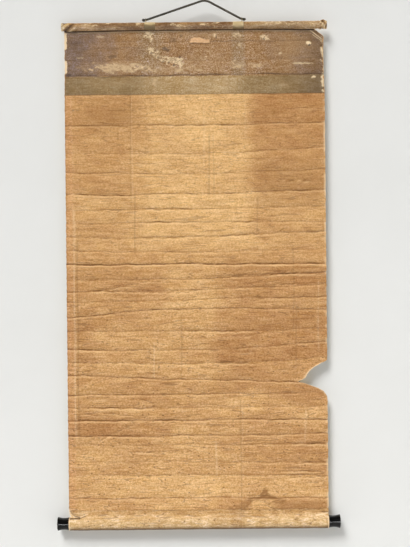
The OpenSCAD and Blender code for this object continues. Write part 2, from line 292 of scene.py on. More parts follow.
def eyelet(name, node_name, way):
    """A ring, (R + r cos b) round the x axis, and a spike: a turned outline below the ring."""
    big, small = (EYE_D + WIRE_D) / 2, WIRE_D / 2
    a, b = turns(EYE_STEPS)[:, None], turns(EYE_SIDES)[None, :]
    around = big + small * np.cos(b)
    x0 = way * EYE_SPAN / 2
    ring = hang(x0 + small * np.sin(b) + 0 * a, EYE_Y + around * np.cos(a), -EYE_RISE - around * np.sin(a))
    foot = EYE_RISE - big
    depth = np.array([-foot - 0.6, -foot, 2.0, 9.0, 11.0])[:, None]
    radius = np.array([0.4, 0.98, 0.98, 0.9, 0.25])[:, None]
    spike = hang(x0 + radius * np.cos(b), EYE_Y + radius * np.sin(b), depth + 0 * b)
    points = np.concatenate([ring.reshape(-1, 3), spike.reshape(-1, 3)])
    n = EYE_STEPS * EYE_SIDES
    faces = [
        grid_faces(EYE_STEPS, EYE_SIDES, wrap_rows=True, wrap_cols=True, flip=True),
        grid_faces(len(depth), EYE_SIDES, start=n, wrap_cols=True),
    ] + end_caps(len(depth), EYE_SIDES, start=n)
    obj = piece(name, points, faces)
    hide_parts(node_name)
    return obj


knot_left = knot("tied_knot_left", "cord_knot_left", -1)
knot_right = knot("tied_knot_right", "cord_knot_right", 1)
eye_left = eyelet("wire_eyelet_left", "eyelet_left", -1)
eye_right = eyelet("wire_eyelet_right", "eyelet_right", 1)
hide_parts("hanging_cord")

# %% [markdown]
# ## The folds of the sheet
# Years of rolling have broken the sheet along level folds. Each fold is a valley seen from the
# back, and the strip between two folds swells a little towards the viewer, so light from above
# leaves a dark line over each fold and a pale one under it. The fold lines are the same as in
# the solid: a height and a strength at the left, in the middle and at the right.

# %% Fold lines
SHEET_W, SHEET_DROP, SHEET_T, SWELL = 600.0, 1140.0, 0.8, 1.5
COVER_DROP, COVER_T, COVER_SHRINK = 165.5, 0.4, 2.5
STAVE_BOTTOM, TAB_TOP = 16.82, 1125.9
COVER_FOLDS = [
    (0.19, 0.185, 0.19, 0.5, 0.4, 0.5), (0.47, 0.48, 0.46, 0.3, 0.3, 0.4),
    (0.705, 0.705, 0.7, 1.3, 1.2, 1.4),
]
SHEET_FOLDS = [
    (0.072, 0.074, 0.07, 1.0, 1.0, 1.2), (0.138, 0.142, 0.13, 0.3, 0.6, 0.8),
    (0.184, 0.191, 0.181, 1.2, 0.6, 0.8), (0.239, 0.239, 0.231, 1.5, 1.0, 1.5),
    (0.277, 0.275, 0.272, 0.4, 0.8, 0.4), (0.309, 0.307, 0.309, 0.3, 0.7, 0.6),
    (0.342, 0.342, 0.331, 0.4, 0.9, 1.0), (0.373, 0.379, 0.373, 0.9, 0.5, 0.4),
    (0.408, 0.408, 0.411, 2.0, 2.0, 2.0), (0.443, 0.443, 0.43, 0.4, 0.8, 1.2),
    (0.472, 0.47, 0.458, 1.0, 0.8, 0.7), (0.499, 0.494, 0.489, 0.6, 0.5, 1.5),
    (0.535, 0.515, 0.523, 1.5, 1.2, 0.9), (0.566, 0.569, 0.566, 0.4, 0.8, 0.5),
    (0.61, 0.614, 0.597, 1.6, 0.7, 1.2), (0.641, 0.647, 0.636, 0.4, 0.8, 0.4),
    (0.673, 0.686, 0.694, 1.3, 1.2, 1.5), (0.721, 0.721, 0.721, 1.0, 1.0, 0.5),
    (0.752, 0.754, 0.752, 0.7, 0.5, 0.4), (0.784, 0.783, 0.785, 1.6, 1.5, 1.5),
    (0.82, 0.821, 0.819, 1.5, 1.2, 1.2), (0.842, 0.843, 0.843, 0.2, 0.4, 1.0),
    (0.882, 0.884, 0.889, 0.3, 0.5, 1.0), (0.916, 0.916, 0.921, 0.3, 0.7, 0.5),
    (0.97, 0.971, 0.973, 1.2, 0.7, 1.2),
]


def in_area(folds, top_depth, foot_depth):
    """Fold rows with their heights turned from shares of an area into depths."""
    table = np.array(folds)
    table[:, :3] = top_depth + table[:, :3] * (foot_depth - top_depth)
    return table


def level(depth, strength):
    """A straight border line as a fold row."""
    return np.array([[depth] * 3 + [strength] * 3])


LINES = np.concatenate([
    level(STAVE_BOTTOM, 0.0), in_area(COVER_FOLDS, STAVE_BOTTOM, COVER_DROP),
    level(COVER_DROP, 0.4), in_area(SHEET_FOLDS, COVER_DROP, TAB_TOP), level(TAB_TOP, 0.5),
])
COVER_LINE = len(COVER_FOLDS) + 1
TEAR_LINE = COVER_LINE + 17
STEADY = np.ones((len(LINES), 1))
STEADY[[0, -1]] = 0
STEADY[COVER_LINE] = 0.25
line_rng = np.random.default_rng(11)
SWAY_MM = np.array([0.9, 0.7, 0.45, 0.35, 0.25, 0.2])
SWAY_FROM, SWAY_TO = [220, 110, 60, 34, 20, 13], [420, 210, 105, 58, 33, 19]  # wavelengths in mm
SWAY_K = 2 * np.pi / line_rng.uniform(SWAY_FROM, SWAY_TO, (len(LINES), 6))
SWAY_PHASE = line_rng.uniform(0, 2 * np.pi, (len(LINES), 6))


def across(table, u):
    """Curve through a left, a middle and a right value, for every row of a table of three."""
    u = u[None, :]
    l, m, r = (table[:, k : k + 1] for k in range(3))
    return l * (1 - u) * (1 - 2 * u) + 4 * m * u * (1 - u) + r * u * (2 * u - 1)


def fold_depth(u):
    """Depth of every fold at shares u of the width, with a small seeded sway."""
    x = SHEET_W * (u - 0.5)
    sway = np.sin(SWAY_K[:, :, None] * x + SWAY_PHASE[:, :, None])
    return across(LINES[:, :3], u) + STEADY * np.einsum("j,ijk->ik", SWAY_MM, sway)


def fold_strength(u):
    """Strength of every fold at shares u, uneven along the fold as old breaks are."""
    x = SHEET_W * (u - 0.5)
    patchy = np.sin(SWAY_K[:, 1:4, None] * x + SWAY_PHASE[:, 2:5, None]).sum(1) / 3
    return np.clip(across(LINES[:, 3:], u), 0, None) * (1 + 0.45 * patchy)


print(len(LINES), "fold and border lines, from", LINES[0, 0], "to", LINES[-1, 0], "mm")

# %% [markdown]
# ## Short wrinkles
# Between the long folds the paper has dozens of short creases. A crease is a dent whose depth
# falls off as exp(-distance / width), which gives it a sharp bottom. A few follow creases seen in
# the picture, and the rest are strewn by a seeded generator.

# %% Wrinkle field
SEEN_CREASES = [
    (-300, 200, -261, 200), (195, 365, 269, 366), (-129, 430, -14, 431), (-136, 460, 9, 461),
    (83, 462, 152, 462), (37, 496, 217, 483), (-137, 497, -37, 497), (36, 586, 267, 579),
    (-142, 596, -61, 597), (-242, 620, -142, 603), (-165, 621, 8, 623), (170, 606, 239, 606),
    (-39, 712, 123, 714), (29, 787, 145, 788), (-267, 888, -94, 890), (-276, 904, -226, 898),
    (-226, 898, -140, 908), (-140, 922, -198, 949), (-198, 949, -233, 967), (213, 974, 298, 975),
    (212, 1019, 298, 1020), (189, 1038, 298, 1039), (201, 1052, 298, 1052), (-169, 991, 5, 992),
    (247, 1064, 297, 1064),
]
seen = np.array(SEEN_CREASES, float)
crease_rng = np.random.default_rng(23)
STREWN = 380
half = crease_rng.uniform(8, 48, STREWN)
strewn_x = crease_rng.uniform(-292, 292, STREWN)
strewn_d = crease_rng.uniform(176, 1118, STREWN)
CREASES = {
    "x": np.concatenate([(seen[:, 0] + seen[:, 2]) / 2, strewn_x]),
    "d": np.concatenate([(seen[:, 1] + seen[:, 3]) / 2, strewn_d]),
    "half": np.concatenate([np.abs(seen[:, 2] - seen[:, 0]) / 2, half]),
    "slope": np.concatenate([
        (seen[:, 3] - seen[:, 1]) / (seen[:, 2] - seen[:, 0]), crease_rng.normal(0, 0.055, STREWN)]),
    "deep": np.concatenate([np.full(len(seen), 1.1), crease_rng.uniform(0.12, 0.55, STREWN)]),
    "wide": np.concatenate([np.full(len(seen), 3.2), crease_rng.uniform(1.9, 4.0, STREWN)]),
    "wave": crease_rng.uniform(16, 44, len(seen) + STREWN),
    "phase": crease_rng.uniform(0, 2 * np.pi, len(seen) + STREWN),
}


def wrinkle(x, d):
    """Dent in millimetres towards the front, and the line of the crease: dirt and painted shade (+)
    in its bottom, and a painted highlight (-) on the pale lip just below."""
    dent, dirt_and_painted_light = np.zeros(x.shape), np.zeros(x.shape)
    for cx, cd, a, slope, deep, wide, wave, phase in zip(*CREASES.values()):
        run = x - cx
        below = d - cd - slope * run - 1.1 * np.sin(2 * np.pi * run / wave + phase)
        off = np.abs(below)
        dent += deep * np.exp(-off / wide) * np.clip(1.15 - (run / a) ** 4, 0, 1)
        # dirt and painted shade in the crease's bottom, less a painted highlight on the lip below it
        line = 1.2 * np.exp(-off / 1.1) - 0.7 * np.exp(-(((below - 3.2) / 1.5) ** 2))
        dirt_and_painted_light += deep * line * np.clip(1 - (run / a) ** 4, 0, 1)
    return dent, dirt_and_painted_light


print(len(CREASES["x"]), "short creases")

# %% [markdown]
# ## The outline of the sheet
# The shrunken cover silk draws the edges in near the top, a corner is lost beside the stave, and
# a tear has taken a bite from the right edge. The columns of the grid near an edge follow it, so
# the torn outline is made of whole faces and not cut out by a mask.

# %% Edges, tear and place across the sheet
TEAR_AT = LINES[TEAR_LINE, 2]
TEAR_DEPTH, TEAR_UP, TEAR_DOWN = 69.0, 49.0, 43.0
TEAR_SHAPE = np.array([
    (-1, 0), (-0.86, 0.23), (-0.67, 0.46), (-0.5, 0.62), (-0.33, 0.68), (-0.16, 0.76), (0, 1),
    (0.05, 0.8), (0.19, 0.56), (0.35, 0.3), (0.51, 0.12), (0.72, 0.03), (1, 0),
])
CORNER_LOSS, CORNER_H, CORNER_TOP = 24.0, 19.0, 16.72
ragged = waves(31, 7, (900, 1000), (5, 40))
ragged_fine = waves(32, 6, (900, 1000), (4, 11))


def tear_inset(d):
    """How far the tear reaches in from the right edge at depth d, with torn fibres."""
    share = (d - TEAR_AT) / np.where(d < TEAR_AT, TEAR_UP, TEAR_DOWN)
    bite = np.interp(share, TEAR_SHAPE[:, 0], TEAR_SHAPE[:, 1])
    return TEAR_DEPTH * bite + 0.5 * ragged_fine(0, d) * smooth(0.02, 0.2, bite)


def cover_inset(d):
    """How far the silk has drawn in the edges: half a sine from the stave to its lower edge."""
    return np.where(d < COVER_DROP, COVER_SHRINK * np.sin(np.pi * np.clip(d / COVER_DROP, 0, 1)), 0)


ROUND_D = np.array([1121.0, 1126.0, 1130.0, 1133.5, 1136.5, 1139.0, 1140.5])
ROUND_IN = np.array([0.0, 0.2, 0.6, 1.3, 2.3, 3.6, 5.0])


def edge_left(d):
    """Left edge: drawn in a little by the silk, and rounded off at the curled lower corner."""
    curled = np.interp(d, ROUND_D, ROUND_IN)
    return -SHEET_W / 2 + 0.4 * cover_inset(d) + curled + 0.35 * ragged(0, d + 300) * smooth(0, 30, d)


def edge_right(d):
    """Right edge: drawn in by the silk or the lost corner, whichever is more, and by the tear."""
    lost = CORNER_LOSS * np.clip(1 - (d - CORNER_TOP) / CORNER_H, 0, 1) * (d > CORNER_TOP)
    edge = SHEET_W / 2 - np.maximum(cover_inset(d), lost) - tear_inset(d)
    return edge + 0.35 * ragged(0, d) * smooth(0, 30, d)


LEFT_SHARE, RIGHT_SHARE = 0.1, 0.8


def sheet_x(u, d):
    """Place across the sheet: straight columns in the middle, drawn to the edges beyond."""
    plain = SHEET_W * (u - 0.5)
    from_left = edge_left(d) + (SHEET_W * (LEFT_SHARE - 0.5) - edge_left(d)) * u / LEFT_SHARE
    start = SHEET_W * (RIGHT_SHARE - 0.5)
    to_right = start + (edge_right(d) - start) * (u - RIGHT_SHARE) / (1 - RIGHT_SHARE)
    return np.where(u < LEFT_SHARE, from_left, np.where(u > RIGHT_SHARE, to_right, plain))


cockle = waves(41, 8, (70, 260), (60, 200))
edge_curl = waves(42, 6, (900, 1000), (40, 160))


def back_surface(u, first, last, steps):
    """The lining's face between two of the lines, steps rows a strip. With D and S the depths
    and strengths of the folds and f the share of a strip, a point lies at depth
    D0 + f(D1 - D0) and stands swell * mean(S) * (1 - |2f - 1|^4) towards the viewer, less the
    dent of the short creases."""
    k = np.arange(steps) / steps
    f = 0.5 * k + 0.25 * (1 - np.cos(np.pi * k))
    strip = np.repeat(np.arange(first, last), steps)
    share = np.tile(f, last - first)
    strip, share = np.append(strip, last - 1), np.append(share, 1.0)[:, None]
    deep, strong = fold_depth(u), fold_strength(u)
    d = deep[strip] + share * (deep[strip + 1] - deep[strip])
    swell = SWELL * (strong[strip] + strong[strip + 1]) / 2
    bulge = swell * (1 - np.abs(2 * share - 1) ** 4)
    x = sheet_x(u[None, :] + 0 * d, d)
    dent, dirt_and_painted_light = wrinkle(x, d)
    loose = smooth(STAVE_BOTTOM, STAVE_BOTTOM + 40, d) * (1 - smooth(TAB_TOP - 40, TAB_TOP, d))
    rim = np.exp(-(edge_right(d) - x) / 9) + np.exp(-(x - edge_left(d)) / 9)
    lift = 0.35 * cockle(x, d) + rim * (0.5 + 0.7 * edge_curl(0, d + 90 * (x > 0)))
    torn_lip = np.exp(-(edge_right(d) - x) / 7) * smooth(4, 20, tear_inset(d))
    y = -bulge + loose * (dent - lift) - 1.6 * torn_lip * (d < TEAR_AT) * loose
    fold_near = np.minimum(np.abs(d - deep[strip]), np.abs(deep[strip + 1] - d))
    nearest = np.where(share < 0.5, strong[strip], strong[strip + 1])
    # lip: a painted highlight just below each fold; the fold's bottom gets dirt and painted shade
    lip = (share < 0.5) * np.exp(-(((fold_near - 3.2) / 1.6) ** 2))
    dirt_and_painted_light = dirt_and_painted_light + nearest * (1.3 * np.exp(-fold_near / 1.1) - 0.5 * lip)
    return x, y, d, dirt_and_painted_light, strip[:, None] + 0 * x


print(f"tear tip {TEAR_AT:.0f} mm below the top of the stave")

# %% [markdown]
# ## The colour map of the old lining
# Sun and handling have bleached the lining's middle and browned its flanks; paper joins show as
# thin upright lines, and water has left tide lines near the foot. These marks belong to places
# on the sheet, so each is a number stored at the points, from plain formulas, and the material
# turns the numbers into colour.

# %% Marks on the lining
SEAMS = [  # place across, from depth, to depth, pale (+) or dark (-)
    (-149, 167, 415, -0.32), (-146, 167, 415, 0.3), (-141, 393, 530, -0.45), (32, 259, 400, -0.45),
    (42, 259, 400, -0.28), (142, 403, 480, -0.4), (224, 519, 714, -0.4), (-282, 430, 960, 0.55),
    (-275, 500, 960, -0.5), (281, 600, 760, 0.36), (-100, 741, 822, 0.55), (-37, 676, 826, -0.35),
    (42, 970, 1050, 0.5), (99, 872, 1140, -0.4), (103, 872, 1060, 0.25), (229, 653, 826, -0.45),
    (248, 900, 968, 0.6), (-284, 170, 430, 0.25), (118, 172, 300, 0.25), (20, 180, 330, 0.3),
]
mottle_wide = waves(51, 9, (120, 420), (60, 200))
mottle_mid = waves(52, 10, (40, 150), (18, 60))
grime_low = waves(54, 10, (8, 30), (6, 20))
strip_tone = np.random.default_rng(53).normal(0, 0.05, len(LINES))


def seam_marks(x, d):
    """Sum of upright lines about 1.3 mm wide, each fading at its ends."""
    total = np.zeros(x.shape)
    for sx, d0, d1, weight in SEAMS:
        wander = 0.7 * np.sin(d / 37 + sx)
        total += weight * np.exp(-(((x - sx - wander) / 1.3) ** 2)) * span(d, d0, d1, 6)
    return total


TONES = [  # bleached (+) and browned (-) areas: from x, to x, from depth, to depth, fade, weight
    (-150, 135, 100, 540, 26, 0.13), (-112, 122, 100, 500, 20, 0.15), (-25, 62, 150, 330, 14, 0.1),
    (-70, 120, 150, 222, 14, 0.08), (-310, 310, 398, 524, 8, 0.12), (-70, 60, 526, 660, 18, 0.1),
    (130, 310, 100, 400, 26, -0.1), (150, 310, 100, 225, 22, -0.07), (-236, -120, 706, 795, 20, 0.18),
    (-236, -120, 640, 706, 20, 0.04), (-120, 45, 640, 800, 25, 0.17), (45, 310, 560, 862, 16, -0.11),
    (-62, 150, 858, 902, 10, 0.17), (150, 240, 858, 902, 12, 0.04), (-300, -60, 905, 956, 6, -0.14),
    (-60, 130, 905, 956, 10, 0.05), (-310, 48, 957, 1200, 6, 0.12), (-120, 110, 1000, 1200, 26, 0.05),
    (48, 230, 930, 1200, 8, 0.03), (-70, 90, 560, 720, 20, 0.1), (70, 300, 610, 700, 18, 0.06),
    (-60, 120, 905, 956, 10, 0.06), (-290, -130, 905, 956, 8, 0.05), (-130, 90, 940, 1050, 20, 0.04),
    (-310, -100, 1030, 1130, 16, -0.06), (100, 310, 985, 1080, 14, -0.04), (-310, 310, 165, 232, 8, 0.05),
    (120, 310, 380, 402, 5, 0.06), (123, 172, 1103, 1150, 5, 0.3), (-310, 40, 1103, 1150, 8, 0.14),
    (160, 186, 1114, 1150, 8, 0.16),
]


def tone_map(x, d, strip):
    """How bleached the lining is, 0 to 1: soft boxes for the bleached and browned areas, a
    step for every strip, and two sizes of mottling."""
    tone = 0.36 + sum(w * soft_box(x, d, x0, x1, d0, d1, fade) for x0, x1, d0, d1, fade, w in TONES)
    tone += 0.12 * np.exp(-(((x + 91) / 12) ** 2 + ((d - 273) / 11) ** 2))
    tone += 0.12 * np.exp(-(((x + 94) / 13) ** 2 + ((d - 386) / 11) ** 2))
    return tone + strip_tone[strip.astype(int)] + 0.05 * mottle_wide(x, d) + 0.05 * mottle_mid(x, d)


def beside(x, d, x0, d0, x1, d1):
    """Share s of the way from one point to another, and the distance off that line."""
    length = math.hypot(x1 - x0, d1 - d0)
    tx, td = (x1 - x0) / length, (d1 - d0) / length
    s = ((x - x0) * tx + (d - d0) * td) / length
    return s, (d - d0) * tx - (x - x0) * td


def tide(x, d, x0, d0, x1, d1, bow, width):
    """A wandering tide line: exp(-(off / width)^2) off a bowed line between two points."""
    s, off = beside(x, d, x0, d0, x1, d1)
    off = off - bow * 4 * s * (1 - s) - 1.2 * np.sin(18 * s + x0)
    return np.exp(-((off / width) ** 2)) * smooth(-0.06, 0.04, s) * (1 - smooth(0.96, 1.06, s))


def tide_sum(x, d, table):
    """Sum of wandering lines, each with its own bow, width and weight."""
    return sum(w * tide(x, d, *ends, bow, width) for *ends, bow, width, w in table)


TIDES = [  # tide lines: from place and depth, to place and depth, bow, width, weight
    (114, 1101, 172, 1099, 0.5, 2.4, 1.4), (170, 1099, 202, 1108, 0.5, 2.6, 1.2),
    (125, 1104, 102, 1140, 3, 1.5, 1.2), (119, 1108, 148, 1107, -2, 1.5, 0.7),
    (150, 1106, 180, 1141, -4, 1.5, 1.1),
]


def stain_map(x, d):
    """Brown water stains: a peaked blot and its tide lines, two wedges of haze, faint patches."""
    peak = smooth(0, 1, (d - 1073) / 9) * (1 - smooth(1100, 1106, d))
    half_width = np.clip(0.02 * (d - 1070) ** 2 + 1, 1, None)
    blot = peak * (1 - smooth(0.7, 1.3, np.abs(x - 154 + 2 * grime_low(0, d)) / half_width))
    lines = tide_sum(x, d, TIDES)
    shaken = 3 * grime_low(x, d)
    left_wedge = smooth(0, 4, d - 1100 - 0.47 * (116 - x) + shaken) * smooth(0, 4, 121 - 0.6 * (d - 1108) - x)
    right_wedge = smooth(0, 6, x - 150 - 1.1 * (d - 1107) + shaken)
    right_wedge = right_wedge * smooth(1106, 1111, d) * (1 - smooth(1126, 1136, d))
    haze = 0.6 * left_wedge * smooth(34, 46, x) + 0.42 * right_wedge
    faint = 0.3 * soft_box(x, d, -255, -130, 178, 245, 26) + 0.3 * soft_box(x, d, 140, 290, 330, 420, 30)
    rough = 1 + 0.5 * np.clip(grime_low(x, d), -1, 1)
    return np.clip(blot * rough + 0.9 * lines + haze * (1 + 0.3 * mottle_mid(x, d)) + faint, 0, 1)


print(len(SEAMS), "paper joins,", len(TONES), "areas of tone,", len(TIDES), "tide lines")

# %% [markdown]
# ## The sheet
# Painting, silk mount and lining papers are pasted into one sheet of less than a millimetre.
# It could be a plane with a Solidify modifier, but then front and back would share every point.
# Here the back is a fine grid and the front takes every second row and column of it, because
# the back is what the eye meets first; a rim of five-cornered faces joins the two.

# %% Grid of the sheet
plain_columns = np.linspace(-SHEET_W / 2, SHEET_W / 2, 119)
seam_columns = np.concatenate([[s[0] - 1.6, s[0], s[0] + 1.6] for s in SEAMS if abs(s[0]) < 292])
columns_x = np.unique(np.round(np.concatenate([plain_columns, seam_columns]), 1))
columns_x = columns_x[np.concatenate([[True], np.diff(columns_x) > 1.1])]
columns_x[-1] = SHEET_W / 2
if len(columns_x) % 2 == 0:
    columns_x = np.delete(columns_x, np.argmin(columns_x[2:] - columns_x[:-2]) + 1)
u = columns_x / SHEET_W + 0.5
x, y, d, dirt_and_painted_light, strip = back_surface(u, 0, len(LINES) - 1, 14)
top_d = np.array([0.9, 9.0])[:, None] + 0 * u
foot_d = np.array([1129.5, 1133.0, 1136.5, SHEET_DROP])[:, None] + 0 * u
x = np.concatenate([sheet_x(u[None] + 0 * top_d, top_d), x, sheet_x(u[None] + 0 * foot_d, foot_d)])
y = np.concatenate([0 * top_d, y, 0 * foot_d])
d = np.concatenate([top_d, d, foot_d])
dirt_and_painted_light = np.concatenate([0 * top_d, dirt_and_painted_light, 0 * foot_d])
strip = np.concatenate([0 * top_d, strip, 0 * foot_d + len(LINES) - 2])
near = hang(x, y, d)
far = hang(x, y + SHEET_T, d)[::2, ::2]
print("sheet grid of", x.shape[0], "rows and", x.shape[1], "columns")

# %% Marks of the sheet
rim_left, rim_right = x - edge_left(d), edge_right(d) - x
fibrous = 0.55 * smooth(-0.2, 0.9, ragged(0, d * 0.5))
torn = np.exp(-rim_right / 2.0) * np.maximum(smooth(2, 12, tear_inset(d)), fibrous)
folded_edge = span(d, 21, 61, 2) + span(d, 86, 116, 2)
torn = np.maximum(torn, (1 - smooth(5.0, 7.5, rim_left)) * folded_edge)
torn = np.maximum(torn, np.exp(-rim_left / 3.0) * smooth(1118, 1126, d))
PALE_RIGHT_SPANS = [(232, 301), (350, 404), (463, 489), (1010, 1040), (1085, 1128)]  # depths of the paler strips on the right edge
pale_right_edge = sum(span(d, d0, d1, 4) for d0, d1 in PALE_RIGHT_SPANS)
torn = np.maximum(torn, 0.8 * (1 - smooth(1.0, 3.6, rim_right)) * np.clip(pale_right_edge, 0, 1))
border = (1 - smooth(-285, -281, x)) * (d > COVER_DROP)
# painted shadow along the left edge, and painted shade across the top strip behind the stave
dirt_and_painted_light = np.clip(dirt_and_painted_light, -1.5, 3) + 0.5 * np.exp(-rim_left / 1.6) + 4.0 * (d < STAVE_BOTTOM + 0.3)
marks = {
    "tone": tone_map(x, d, strip), "stain": stain_map(x, d), "seam": seam_marks(x, d),
    "dirt_and_painted_light": dirt_and_painted_light, "torn": torn, "border": border,
}
print("marks of the sheet:", ", ".join(marks))

# %% Build the sheet


def rim(back_line, front_line, flip):
    """Five-cornered faces between an edge of the fine grid and the same edge of the coarse."""
    near_side = [back_line[:-2:2], back_line[1:-1:2], back_line[2::2]]
    faces = np.stack(near_side + [front_line[1:], front_line[:-1]], -1)
    return faces[:, ::-1] if flip else faces


def two_sided(name, near, far, marks, slots=None):
    """A piece with a fine grid at the back, a coarse one at the front, and a rim round both."""
    start = near.shape[0] * near.shape[1]
    b = np.arange(start).reshape(near.shape[:2])
    f = np.arange(far.shape[0] * far.shape[1]).reshape(far.shape[:2]) + start
    faces = [
        grid_faces(*near.shape[:2], flip=True), grid_faces(*far.shape[:2], start=start),
        rim(b[:, 0], f[:, 0], True), rim(b[:, -1], f[:, -1], False),
        rim(b[0], f[0], False), rim(b[-1], f[-1], True),
    ]
    points = np.concatenate([near.reshape(-1, 3), far.reshape(-1, 3)])
    both = {k: np.concatenate([v.ravel(), v[::2, ::2].ravel()]) for k, v in marks.items()}
    return piece(name, points, faces, slots=slots, marks=both)


sheet = two_sided("folded_sheet", near, far, marks, slots=[0, 1, 2, 2, 2, 2])
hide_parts("sheet")

# %% [markdown]
# ## The cover silk
# When the scroll is rolled up, a patch of silk below the stave is left outside and takes all the
# wear. It is pasted to the lining, so it uses the lining's own surface a little further out, on
# a finer grid, because its flecks, scuffs and cracks are small.

# %% Patches and lines
fray = waves(61, 8, (900, 1000), (4, 26))
blotch = waves(62, 12, (14, 60), (9, 34))
grime = waves(63, 12, (6, 22), (4, 15))


def blob(x, d, cx, cd, rx, rd, rough=0.35, soft=0.18):
    """A patch with a ragged edge: 1 - r of an ellipse, shaken by two sizes of waves."""
    r = np.hypot((x - cx) / rx, (d - cd) / rd)
    return smooth(-soft, soft, 1 - r + rough * blotch(x, d) + 0.5 * rough * grime(x, d))


def edge_line(x, d, x0, d0, x1, d1, width):
    """A straight line between two points, exp(-(off / width)^2), without a wander."""
    s, off = beside(x, d, x0, d0, x1, d1)
    return np.exp(-((off / width) ** 2)) * smooth(-0.08, 0.04, s) * (1 - smooth(0.96, 1.08, s))


# %% Wear of the silk, place by place
SCUFFS = [  # rubbed patches: place across, depth, half width, half height, weight
    (-174, 103, 66, 11, 1.1), (-55, 109, 52, 7, 0.6), (105, 100, 14, 7, 0.9), (142, 101, 16, 5, 0.9),
    (20, 97, 60, 20, 0.4), (230, 62, 50, 30, 0.3), (-150, 140, 90, 9, 0.3), (30, 28, 70, 9, 0.4),
    (-93, 142, 4, 24, 0.6), (0, 142, 7, 24, 0.55), (71, 142, 6, 24, 0.5), (204, 147, 12, 4, 0.5),
]
CRUMBS = [  # places where pale crumbs of paper come through
    (-101, 63, 11, 9, 1.1), (-87, 74, 10, 8, 0.95), (-72, 84, 12, 8, 1.0), (-56, 87, 14, 9, 1.1),
    (-40, 91, 14, 10, 1.1), (-31, 101, 9, 6, 0.9), (-104, 29, 12, 11, 1.25), (-98, 46, 6, 9, 0.8),
    (101, 29, 12, 8, 0.9), (24, 82, 9, 6, 0.9), (9, 65, 8, 5, 0.8), (38, 67, 7, 5, 0.8),
    (92, 90, 6, 5, 0.9), (164, 36, 12, 7, 0.8), (50, 30, 7, 9, 0.8), (118, 96, 40, 9, 0.6),
    (240, 96, 40, 8, 0.55), (-30, 30, 34, 9, 0.5), (-174, 103, 62, 10, 0.72), (296, 62, 6, 30, 0.9),
    (296, 138, 5, 22, 0.8),
]
CHIPS = [  # bare spots
    (263.5, 50.5, 5.0, 3.8, 1.0), (274, 129, 4.6, 3.0, 0.9), (157, 34, 5.5, 2.0, 0.6),
    (166, 38, 3.2, 4.0, 0.6), (47, 31, 2.6, 6.5, 0.7), (105, 52, 3.6, 3.6, 0.35),
    (198, 73, 4.0, 2.2, 0.5), (-107, 23, 5.0, 3.6, 0.9), (-98, 62, 4.6, 3.0, 0.6),
    (298, 71, 4.6, 17.0, 0.9), (297, 138, 4.4, 19.0, 0.9), (246, 97, 24.0, 1.9, 0.5),
    (-214, 31, 9.0, 2.0, 0.3), (-262, 80, 8.0, 2.4, 0.3), (-37, 86, 4.0, 2.6, 0.8),
    (-30, 99, 5.0, 2.8, 0.7),
]
BLOTS = [  # dark spots and holes
    (-68, 60, 6.0, 4.0, 0.6), (-61, 65, 5.0, 3.4, 0.55), (-56, 56, 4.0, 2.6, 0.4),
    (266, 55, 2.3, 2.2, 0.95), (-59, 92, 2.6, 2.0, 0.7), (-47, 98, 3.0, 2.2, 0.8),
    (-34, 80, 2.4, 2.0, 0.7), (-99, 70, 3.0, 1.8, 0.6), (-84, 80, 2.6, 1.8, 0.6),
    (-73, 91, 2.4, 1.6, 0.6), (-188, 78, 9.0, 4.5, 0.42), (-51, 40, 9.0, 5.0, 0.3),
    (161, 40, 1.6, 2.6, 0.75), (51, 35, 1.5, 4.0, 0.75), (-290, 119, 5.0, 3.0, 0.6),
    (-30, 32, 4.0, 3.4, 0.35), (246, 34, 2.0, 1.6, 0.6), (-272, 45, 13.0, 7.0, 0.22),
]
CRACKS = [  # dark cracks: from place and depth, to place and depth, bow, width, weight
    (-13, 47.4, 37, 49.0, 0.8, 0.9, 0.75), (-299, 59, -126, 57, 0.8, 1.2, 0.28),
    (40, 44, 140, 43, 0.8, 1.2, 0.3), (-228, 124.5, -117, 121, 0.8, 1.3, 0.55),
    (-117, 121.5, 64, 119.5, 0.8, 1.2, 0.45), (160, 120, 292, 121, 0.8, 1.2, 0.4),
]
CURLED = [(268, 21, 292, 40, 0.9, 1.0), (274, 31, 296, 47, 0.8, 0.8)]  # pale edges of the lost corner
CURL_GAP_SHADOW = [(270, 26, 294, 43.5, 1.1, 0.6)]  # painted shadow in the gap under them


# %% Silk marks


def line_sum(x, d, table):
    """Sum of straight lines, each with its own width and weight."""
    return sum(w * edge_line(x, d, *ends, width) for *ends, width, w in table)


def patches(x, d, table, rough, soft=0.18):
    """Sum of ragged patches, each with its own weight."""
    return sum(w * blob(x, d, cx, cd, rx, rd, rough, soft) for cx, cd, rx, rd, w in table)


def stave_sag(x):
    """How far the sleeve's silk hangs slack below the stave towards its two ends."""
    return 1.9 * smooth(120, 295, np.abs(x))


